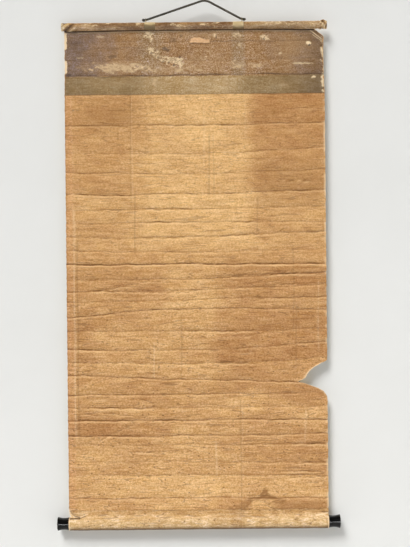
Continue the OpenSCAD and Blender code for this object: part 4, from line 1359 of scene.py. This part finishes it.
def lining(tree, spot):
    """Browned to bleached by the tone mark, streaked by fibre, then dirt with painted shade and highlight,
    stain, joins, tears.
    """
    fibre = place(tree, paper_fibre, {"Vector": spot})
    mottled = ramp(tree, fibre["Mottle"], 0.3, 0.7, -0.05, 0.05)
    tone = plus(tree, mark(tree, "tone"), mottled, True)
    colour = blend(tree, tone, BROWNED, BLEACHED)
    colour = washed(tree, colour, "border", srgb(214, 156, 106), 0.3)
    down = add(tree, "ShaderNodeSeparateXYZ", {0: spot}).outputs["Z"]
    coarse = ramp(tree, down, -0.75, -0.55, 1.1, 0.84)
    streak, grain = times(tree, coarse, 0.18), times(tree, coarse, 0.24)
    colour = shaded(tree, colour, *fibre_shades(tree, fibre, streak, grain))
    specks = times(tree, fibre["Speck"], ramp(tree, down, -1.0, -0.5, 0.8, 0.3))
    colour = blend(tree, specks, colour, FOXED)
    colour = washed(tree, colour, "stain", STAINED, 0.92)
    seam = times(tree, mark(tree, "seam"), ramp(tree, fibre["Grain"], 0.35, 0.6, 0.35, 1.0))
    colour = blend(tree, times(tree, seam, 1.0, True), colour, TORN)
    colour = blend(tree, times(tree, seam, -0.95, True), colour, CREASE_BROWN)
    # darker along the hair creases: painted shade in them
    hairs = times(tree, fibre["Hair"], ramp(tree, down, -0.75, -0.55, 0.44, 0.34))
    colour = blend(tree, hairs, colour, CREASE_BROWN)
    # dirt and painted shade in the folds, painted shadow at the left edge and across the head
    dirt_and_painted_light = times(tree, mark(tree, "dirt_and_painted_light"), ramp(tree, fibre["Mottle"], 0.3, 0.62, 0.16, 0.56), True)
    colour = blend(tree, dirt_and_painted_light, colour, CREASE_BROWN)
    # painted highlight on the lip below each crease, where the mark is below 0
    colour = washed(tree, colour, "dirt_and_painted_light", PAINTED_RIDGE_LIGHT, -0.75)
    colour = washed(tree, colour, "torn", TORN)
    rough = ramp(tree, fibre["Mottle"], 0.3, 0.7, 0.8, 0.92)
    return colour, rough, fibre["Height"], 0.0011, 0.5


def torn_edge(tree, spot):
    """Pale fibres along the thin edge of the sheet."""
    fibre = place(tree, paper_fibre, {"Vector": spot})
    colour = blend(tree, ramp(tree, fibre["Mottle"], 0.35, 0.65), srgb(196, 160, 116), srgb(236, 212, 176))
    return colour, 0.92, fibre["Height"], 0.0006, 0.5


lining_paper = finish("lining_paper", lining)
edge_paper = finish("torn_paper_edge", torn_edge)

# %% [markdown]
# ## The mounted front
# The painted side faces the wall. A scroll of this kind has broad plain silk above and below, a
# narrower figured silk round the painting, and two thin strips of brocade at its head and foot.
# The zones are cut by height and width in Object coordinates, and the painting is left as a quiet
# wash of mist over low hills, because the front can't be seen.

# %% Front of the sheet


def between(tree, value, low, high, fade=0.0004):
    """1 where the value lies between two limits, with a narrow fade."""
    rise = ramp(tree, value, low - fade, low + fade)
    return times(tree, rise, ramp(tree, value, high - fade, high + fade, 1.0, 0.0))


def mounted(tree, spot):
    """Silk zones by place, a small lozenge figure in the inner border, and a wash of hills."""
    weave = place(tree, silk_weave, {"Vector": spot, "Pitch": 900.0})
    fibre = place(tree, paper_fibre, {"Vector": spot})
    axes = add(tree, "ShaderNodeSeparateXYZ", {0: spot})
    x = plus(tree, axes.outputs["X"], HOOK_SHIFT * MM)
    down = calc(tree, "SUBTRACT", -HOOK_RISE * MM, axes.outputs["Z"])
    shade = ramp(tree, weave["Slub"], 0.3, 0.7, 0.86, 1.08)
    grey = add(tree, "ShaderNodeCombineColor", {0: shade, 1: shade, 2: shade}).outputs[0]
    outer = blend(tree, ramp(tree, fibre["Mottle"], 0.3, 0.7), srgb(138, 124, 96), srgb(158, 143, 112))
    waves_x = calc(tree, "SINE", times(tree, plus(tree, x, down), 290.0))
    waves_z = calc(tree, "SINE", times(tree, calc(tree, "SUBTRACT", x, down), 290.0))
    figure = ramp(tree, times(tree, waves_x, waves_z), 0.2, 0.55)
    inner_silk = blend(tree, figure, srgb(92, 96, 88), srgb(122, 120, 100))
    width = calc(tree, "ABSOLUTE", x)
    fine = ramp(tree, calc(tree, "SINE", times(tree, plus(tree, width, down), 900.0)), -0.2, 0.6)
    brocade = blend(tree, fine, srgb(120, 92, 46), srgb(184, 150, 86))
    ridge = noise(tree, stretch(tree, spot, (5.0, 0.0, 0.6)), 1.0, 5.0, 0.5)
    far_hill = plus(tree, times(tree, ridge, 0.14), 0.63)
    ridge2 = noise(tree, stretch(tree, spot, (3.6, 0.0, 0.5), (4.0, 0.0, 0.0)), 1.0, 5.0, 0.5)
    near_hill = plus(tree, times(tree, ridge2, 0.16), 0.68)
    ground = blend(tree, ramp(tree, fibre["Mottle"], 0.3, 0.7), srgb(196, 168, 124), srgb(220, 194, 150))
    far_wash = calc(tree, "SUBTRACT", down, far_hill)
    far_mask = times(tree, ramp(tree, far_wash, 0.0, 0.004), ramp(tree, far_wash, 0.0, 0.07, 0.34, 0.0))
    near_wash = calc(tree, "SUBTRACT", down, near_hill)
    near_mask = times(tree, ramp(tree, near_wash, 0.0, 0.004), ramp(tree, near_wash, 0.0, 0.1, 0.5, 0.02))
    picture = blend(tree, far_mask, ground, srgb(92, 88, 76))
    picture = blend(tree, near_mask, picture, srgb(70, 66, 56))
    inner_zone = times(tree, between(tree, down, 0.392, 0.955), ramp(tree, width, 0.2776, 0.2784, 1.0, 0.0))
    panel = ramp(tree, width, 0.2546, 0.2554, 1.0, 0.0)
    cloth_zone = times(tree, between(tree, down, 0.53, 0.885), panel)
    paper_zone = times(tree, between(tree, down, 0.558, 0.868), panel)
    silk = blend(tree, 1.0, blend(tree, inner_zone, outer, inner_silk), grey, "MULTIPLY")
    colour = blend(tree, cloth_zone, silk, brocade)
    colour = blend(tree, paper_zone, colour, picture)
    # darker along the folds and across the head: dirt and painted shade
    dirt_and_painted_light = times(tree, mark(tree, "dirt_and_painted_light"), ramp(tree, fibre["Mottle"], 0.3, 0.7, 0.08, 0.32), True)
    colour = blend(tree, dirt_and_painted_light, colour, srgb(84, 66, 44))
    rough = ramp(tree, weave["Slub"], 0.3, 0.7, 0.6, 0.78)
    return colour, rough, weave["Height"], 0.0004, 0.35


mounted_front = finish("mounted_front", mounted)
for material in (lining_paper, mounted_front, edge_paper):
    sheet.data.materials.append(material)

# %% [markdown]
# ## Worn silk
# The cover silk has faded from mauve to brown, with an olive strip below. Where it is rubbed, the
# pale paper comes through in crumbs and threads; where it has peeled, the tan paste shows.

# %% Cover silk
MAUVE, UMBER = srgb(134, 108, 89), srgb(165, 126, 82)
OLIVE, OLIVE_PALE = srgb(142, 115, 74), srgb(188, 157, 111)
FLECK, PASTE, SCUFFED = srgb(238, 212, 170), srgb(216, 168, 118), srgb(204, 173, 133)


def worn_cover(tree, spot):
    """Mauve and umber by mark, olive below, bleached in the middle, with slubs and wear."""
    weave = place(tree, silk_weave, {"Vector": spot, "Pitch": 900.0})
    axes = add(tree, "ShaderNodeSeparateXYZ", {0: spot})
    x = plus(tree, axes.outputs["X"], HOOK_SHIFT * MM)
    patch = noise(tree, spot, 24.0, 6.0, 0.65)
    faded = plus(tree, mark(tree, "mauve"), ramp(tree, patch, 0.35, 0.65, -0.25, 0.25), True)
    colour = blend(tree, faded, UMBER, MAUVE)
    colour = washed(tree, colour, "green", srgb(160, 137, 104), 0.6)
    middle = times(tree, ramp(tree, x, -0.14, -0.07), ramp(tree, x, 0.06, 0.15, 1.0, 0.0))
    pale = plus(tree, times(tree, middle, 0.7), ramp(tree, patch, 0.3, 0.7, 0.0, 0.35), True)
    olive = mark(tree, "olive")
    colour = blend(tree, olive, colour, blend(tree, pale, OLIVE, OLIVE_PALE))
    fibre = place(tree, paper_fibre, {"Vector": spot})
    far_right = plus(tree, ramp(tree, x, 0.12, 0.24, 0.0, 0.16), ramp(tree, x, 0.215, 0.29, 0.0, 0.4))
    colour = blend(tree, far_right, colour, srgb(92, 72, 54))
    colour = blend(tree, ramp(tree, x, -0.28, -0.2, 0.16, 0.0), colour, srgb(92, 76, 64))
    busy = times(tree, ramp(tree, x, -0.17, -0.1, 0.55, 1.0), ramp(tree, x, 0.12, 0.22, 1.0, 0.6))
    busy = times(tree, busy, calc(tree, "SUBTRACT", 1.0, times(tree, olive, 0.55)))
    speckle = noise(tree, stretch(tree, spot, (1.0, 1.0, 1.4)), 400.0, 3.0, 0.7)
    colour = shaded(
        tree, colour, ramp(tree, weave["Slub"], 0.3, 0.7, 0.88, 1.1),
        ramp(tree, fibre["Mottle"], 0.3, 0.7, 0.9, 1.09),
        *fibre_shades(tree, fibre, 0.2, times(tree, busy, 0.34)),
        around_one(tree, speckle, 0.34, 0.66, times(tree, busy, 0.52)),
    )
    scuff = mark(tree, "scuff")
    rubbed = place(tree, worn_fleck, {"Vector": spot, "Amount": plus(tree, times(tree, scuff, 0.85), 0.2)})
    soft_rub = times(tree, scuff, 0.42)
    colour = blend(tree, plus(tree, times(tree, rubbed["Mask"], 0.85), soft_rub, True), colour, SCUFFED)
    amount = plus(tree, times(tree, mark(tree, "worn"), 0.81), ramp(tree, patch, 0.45, 0.8, 0.1, 0.44))
    fine_place = stretch(tree, spot, (1.9, 1.9, 1.9), (0.3, 0.1, 0.7))
    flecks = place(tree, worn_fleck, {"Vector": fine_place, "Amount": amount})
    colour = blend(tree, times(tree, flecks["Mask"], 0.92), colour, FLECK)
    colour = washed(tree, colour, "bare", FLECK)
    paste = blend(tree, ramp(tree, fibre["Grain"], 0.35, 0.65), PASTE, srgb(232, 190, 146))
    colour = washed(tree, colour, "peeled", paste)
    # dirt and painted shade along the folds
    colour = washed(tree, colour, "dirt_and_painted_light", srgb(74, 52, 32), 0.4)
    colour = washed(tree, colour, "dark", srgb(74, 58, 50))
    # painted shadow under the stave
    colour = washed(tree, colour, "under", srgb(44, 28, 12))
    rough = ramp(tree, weave["Slub"], 0.3, 0.7, 0.68, 0.86)
    height = plus(tree, weave["Height"], times(tree, flecks["Mask"], -0.8))
    return colour, rough, height, 0.0005, 0.5


cover.data.materials.append(finish("worn_cover_silk", worn_cover))

# %% Sleeve and bands


def worn_sleeve(tree, spot):
    """Brown silk, gold in the gathers at the ends, rubbed pale along its length, with painted shade on its
    top.
    """
    weave = place(tree, silk_weave, {"Vector": spot, "Pitch": 900.0})
    patch = noise(tree, stretch(tree, spot, (14.0, 40.0, 40.0)), 1.0, 6.0, 0.65)
    wear = noise(tree, stretch(tree, spot, (30.0, 70.0, 70.0), (2.0, 1.0, 3.0)), 1.0, 4.0, 0.6)
    colour = blend(tree, ramp(tree, patch, 0.32, 0.68), srgb(128, 94, 60), srgb(194, 158, 114))
    colour = washed(tree, colour, "tan", srgb(178, 148, 102), 0.35)
    gather, ends = mark(tree, "gather"), mark(tree, "end")
    # paler on the ridges of the gathers and darker in their hollows: painted highlight and painted shade
    ridges = times(tree, ends, ramp(tree, gather, 0.55, 0.9, 0.0, 0.85))
    hollows = times(tree, ends, ramp(tree, gather, 0.05, 0.4, 0.85, 0.0))
    colour = blend(tree, times(tree, ends, 0.5), colour, srgb(156, 116, 70))
    colour = blend(tree, ridges, colour, srgb(226, 198, 152))
    colour = blend(tree, hollows, colour, srgb(78, 52, 28))
    fibre = place(tree, paper_fibre, {"Vector": spot})
    up = add(tree, "ShaderNodeSeparateXYZ", {0: spot}).outputs["Z"]
    # painted shade along the top of the stave, and a little lighter below it
    painted_top_shade = times(tree, ramp(tree, up, -0.058, -0.049), ramp(tree, mark(tree, "tan"), 0.0, 1.0, 0.4, 0.1))
    colour = shaded(
        tree, colour, ramp(tree, weave["Slub"], 0.3, 0.7, 0.86, 1.14),
        calc(tree, "SUBTRACT", 1.08, painted_top_shade), *fibre_shades(tree, fibre, 0.24, 0.28),
    )
    amount = plus(tree, ramp(tree, wear, 0.35, 0.7, 0.34, 0.88), mark(tree, "fleck"))
    fine_place = stretch(tree, spot, (1.5, 2.0, 2.0), (0.4, 0.2, 0.6))
    flecks = place(tree, worn_fleck, {"Vector": fine_place, "Amount": amount})
    colour = blend(tree, times(tree, flecks["Mask"], 0.8), colour, FLECK)
    cap_mark, broad_place = mark(tree, "cap"), stretch(tree, spot, (0.6, 0.6, 0.6), (0.2, 0.4, 0.1))
    tatters = place(tree, worn_fleck, {"Vector": broad_place, "Amount": cap_mark})
    tatter_share = times(tree, tatters["Mask"], ramp(tree, cap_mark, 0.0, 0.3, 0.0, 0.8))
    colour = blend(tree, tatter_share, colour, srgb(228, 208, 168))
    rough = ramp(tree, weave["Slub"], 0.3, 0.7, 0.62, 0.82)
    return colour, rough, weave["Height"], 0.0005, 0.5


def straw_band(tree, spot):
    """Pale straw silk, olive on the lower part of the patch, with a painted shadow along its outer edge."""
    weave = place(tree, silk_weave, {"Vector": spot, "Pitch": 1000.0})
    fibre = place(tree, paper_fibre, {"Vector": spot})
    colour = blend(tree, ramp(tree, fibre["Mottle"], 0.3, 0.7), srgb(200, 174, 128), srgb(232, 210, 166))
    colour = washed(tree, colour, "faded", srgb(170, 148, 104))
    colour = washed(tree, colour, "olive_low", srgb(116, 95, 60), 0.9)
    # painted shadow along the outer edge
    colour = washed(tree, colour, "edge_shadow", srgb(62, 44, 24), 0.75)
    colour = shaded(tree, colour, ramp(tree, weave["Slub"], 0.3, 0.7, 0.88, 1.06))
    return colour, ramp(tree, weave["Slub"], 0.3, 0.7, 0.55, 0.75), weave["Height"], 0.0004, 0.4


sleeve.data.materials.append(finish("worn_sleeve_silk", worn_sleeve))
straw_silk = finish("straw_band_silk", straw_band)
for band in (band_left, band_right):
    band.data.materials.append(straw_silk)

# %% [markdown]
# ## Wrap paper, lacquer, wood, cord and wire
# The wrap is paler than the lining, and foxed. Lacquer is nearly black and smooth, with a clear
# coat and faint scuffs. The wood inside is plain softwood, with grain along the rod. The cord's
# colour follows its strands, and the eyelets are dull wire.

# %% Wrap paper


def foxed_wrap(tree, spot):
    """Pale foxed paper, browner on the tab, with painted shade underneath and the marks of its loose corners.
    """
    fibre = place(tree, paper_fibre, {"Vector": spot})
    mottled = ramp(tree, fibre["Mottle"], 0.3, 0.7)
    colour = blend(tree, mottled, srgb(204, 167, 117), srgb(222, 188, 139))
    tab = blend(tree, mottled, srgb(192, 149, 94), srgb(214, 172, 116))
    colour = washed(tree, colour, "tab", tab)
    wrinkles = noise(tree, stretch(tree, spot, (48.0, 130.0, 130.0)), 1.0, 4.0, 0.65, 0.4)
    wrinkled = around_one(tree, wrinkles, 0.32, 0.68, 0.2)
    colour = shaded(tree, colour, wrinkled, *fibre_shades(tree, fibre, 0.14, 0.24))
    # darker along the hair creases: painted shade in them
    colour = blend(tree, times(tree, fibre["Hair"], 0.45), colour, CREASE_BROWN)
    colour = blend(tree, times(tree, fibre["Speck"], 0.75), colour, FOXED)
    dots = stretch(tree, spot, (2.0, 2.0, 2.0))
    flecks = place(tree, worn_fleck, {"Vector": dots, "Amount": 0.52})
    colour = blend(tree, times(tree, flecks["Mask"], 0.8), colour, srgb(108, 70, 36))
    colour = washed(tree, colour, "stain", STAINED, 0.45)
    # painted shade on the underside of the roller
    colour = washed(tree, colour, "low", srgb(86, 58, 32), 0.9)
    colour = washed(tree, colour, "seam", CREASE_BROWN, -0.5)
    colour = washed(tree, colour, "pale", TORN)
    # painted shadow in the gaps under the loose corners, and the tab's edge line
    colour = washed(tree, colour, "gap_shadow_and_seam", srgb(60, 38, 20))
    return colour, ramp(tree, fibre["Mottle"], 0.3, 0.7, 0.8, 0.92), fibre["Height"], 0.0007, 0.5


wrap.data.materials.append(finish("foxed_wrap_paper", foxed_wrap))

# %% Lacquer, wood, cord and wire


def black_gloss(tree, spot):
    """Nearly black, with a faint haze and a few scuffs."""
    haze = noise(tree, stretch(tree, spot, (60.0, 220.0, 220.0)), 1.0, 5.0, 0.6)
    scuffs = ramp(tree, noise(tree, spot, 320.0, 4.0, 0.7), 0.62, 0.74)
    colour = blend(tree, ramp(tree, haze, 0.35, 0.7), srgb(4, 4, 4), srgb(12, 11, 10))
    colour = blend(tree, times(tree, scuffs, 0.2), colour, srgb(58, 48, 38))
    rough = plus(tree, ramp(tree, haze, 0.35, 0.7, 0.14, 0.24), times(tree, scuffs, 0.2))
    return colour, rough, haze, 0.0001, 0.25


def plain_wood(tree, spot):
    """Softwood with grain and pores along the rod."""
    grain = noise(tree, stretch(tree, spot, (6.0, 160.0, 160.0)), 1.0, 5.0, 0.6, 0.5)
    pores = noise(tree, stretch(tree, spot, (40.0, 700.0, 700.0)), 1.0, 3.0)
    colour = blend(tree, ramp(tree, grain, 0.3, 0.7), srgb(146, 108, 68), srgb(190, 152, 104))
    colour = blend(tree, ramp(tree, pores, 0.62, 0.72, 0.0, 0.5), colour, srgb(104, 72, 42))
    return colour, ramp(tree, grain, 0.3, 0.7, 0.6, 0.75), grain, 0.0003, 0.4


def dark_braid(tree, spot):
    """Dark silk, with a painted highlight where a strand lies on top, faded in places."""
    fuzz = noise(tree, spot, 1400.0, 3.0)
    fade = ramp(tree, noise(tree, spot, 18.0, 3.0), 0.35, 0.7)
    colour = blend(tree, ramp(tree, mark(tree, "over"), -0.2, 0.9), srgb(34, 31, 26), srgb(74, 70, 60))
    colour = blend(tree, times(tree, fade, 0.5), colour, srgb(98, 86, 70))
    return colour, ramp(tree, fuzz, 0.3, 0.7, 0.7, 0.9), fuzz, 0.0002, 0.5


def dull_wire(tree, spot):
    """Brassy wire with tarnish."""
    tarnish = noise(tree, spot, 420.0, 4.0, 0.65)
    colour = blend(tree, ramp(tree, tarnish, 0.4, 0.66), srgb(206, 190, 150), srgb(112, 92, 62))
    return colour, ramp(tree, tarnish, 0.35, 0.7, 0.28, 0.6), tarnish, 0.00008, 0.3


lacquer = finish(
    "black_gloss_lacquer", black_gloss,
    Specular_IOR_Level=0.16, Coat_Weight=0.28, Coat_Roughness=0.06,
)
cord_silk = finish("dark_braided_silk", dark_braid)
wire = finish("dull_wire", dull_wire, Metallic=1.0)
for obj in (knob_left, knob_right):
    obj.data.materials.append(lacquer)
for obj in (cord, knot_left, knot_right):
    obj.data.materials.append(cord_silk)
for obj in (eye_left, eye_right):
    obj.data.materials.append(wire)
wood = finish("plain_softwood", plain_wood)
for name in ("stave", "roller"):
    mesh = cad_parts[name].data
    mesh.materials.clear()
    mesh.materials.append(wood)

# %% [markdown]
# ## Floor, wall and light
# A pale wall hangs just behind the roller, so the scroll throws a soft shadow on it, and a pale
# floor lies below. The wall is seen only from its own side: from behind it is see-through, and it
# blocks no light, so the front of the scroll can be looked at as well. Light comes mostly from the
# upper left, which is what brings out the folds; a low strip lamp draws the bright line along the
# black knobs, and sky light fills the rest to a plain level.

# %% Wall and floor
WALL_Y, WALL_TOP, FLOOR_Z, STAGE_HALF, FLOOR_REACH = 0.027, 1.6, -1.42, 3.0, 4.0


def backdrop(name, corners, dark_tint, pale_tint, one_sided):
    """A flat four-cornered piece of the stage, see-through from behind if it is one-sided."""
    mesh = bpy.data.meshes.new(name)
    mesh.from_pydata(corners, [], [(0, 1, 2, 3)])
    obj = bpy.data.objects.new(name, mesh)
    bpy.context.scene.collection.objects.link(obj)
    material = bpy.data.materials.new(name + "_paint")
    material.use_nodes = True
    tree = material.node_tree
    shader = tree.nodes["Principled BSDF"]
    spot = add(tree, "ShaderNodeTexCoord").outputs["Object"]
    tint = blend(tree, noise(tree, spot, 3.0, 3.0), dark_tint, pale_tint)
    tree.links.new(tint, shader.inputs["Base Color"])
    shader.inputs["Roughness"].default_value = 0.9
    shader.inputs["Specular IOR Level"].default_value = 0.1
    if one_sided:
        clear = add(tree, "ShaderNodeBsdfTransparent")
        back = add(tree, "ShaderNodeNewGeometry").outputs["Backfacing"]
        both_ways = add(tree, "ShaderNodeMixShader", {0: back, 1: shader.outputs[0], 2: clear.outputs[0]})
        tree.links.new(both_ways.outputs[0], tree.nodes["Material Output"].inputs["Surface"])
    mesh.materials.append(material)
    return obj


CORNERS = ((-1, -1), (1, -1), (1, 1), (-1, 1))
wall_corners = [(STAGE_HALF * a, WALL_Y, FLOOR_Z if b < 0 else WALL_TOP) for a, b in CORNERS]
floor_corners = [(STAGE_HALF * a, FLOOR_REACH * b, FLOOR_Z) for a, b in CORNERS]
wall = backdrop("wall", wall_corners, srgb(224, 224, 221), srgb(232, 232, 230), True)
floor = backdrop("floor", floor_corners, srgb(202, 202, 199), srgb(210, 210, 208), False)
wall.visible_shadow = False
wall.visible_diffuse = False
print("stage:", wall.name, "and", floor.name)

# %% Lamps and sky


def sun(name, way, strength, spread):
    """Parallel light from a direction, given as the way towards the light."""
    lamp = bpy.data.lights.new(name, "SUN")
    lamp.energy = strength
    lamp.angle = math.radians(spread)
    obj = bpy.data.objects.new(name, lamp)
    obj.rotation_euler = Vector(way).to_track_quat("Z", "Y").to_euler()
    bpy.context.scene.collection.objects.link(obj)
    return obj


key = sun("key_light", (-0.3, -0.6, 0.74), 2.7, 24)
key.visible_glossy = False
sun("front_light", (0.3, 0.8, 0.55), 2.4, 24)
strip_data = bpy.data.lights.new("strip_light", "AREA")
strip_data.shape, strip_data.size, strip_data.size_y = "RECTANGLE", 3.2, 0.04
strip_data.energy = 46.0
strip_lamp = bpy.data.objects.new("strip_light", strip_data)
strip_lamp.location = (0.0, -2.2, -1.36)
strip_lamp.rotation_euler = Vector((0.0, -1.0, 0.0)).to_track_quat("Z", "Y").to_euler()
strip_lamp.visible_diffuse = False
bpy.context.scene.collection.objects.link(strip_lamp)

world = bpy.data.worlds.new("pale_sky")
world.use_nodes = True
tree = world.node_tree
sky = tree.nodes["Background"]
path = add(tree, "ShaderNodeLightPath").outputs
seen_sky = calc(tree, "MAXIMUM", path["Is Camera Ray"], path["Is Transmission Ray"])
dim_gloss = times(tree, path["Is Glossy Ray"], -0.22)
tree.links.new(plus(tree, ramp(tree, seen_sky, 0.0, 1.0, 0.35, 0.88), dim_gloss), sky.inputs["Strength"])
sky.inputs["Color"].default_value = (1.0, 1.0, 1.0, 1.0)
bpy.context.scene.world = world
bpy.context.scene.view_settings.view_transform = "Standard"
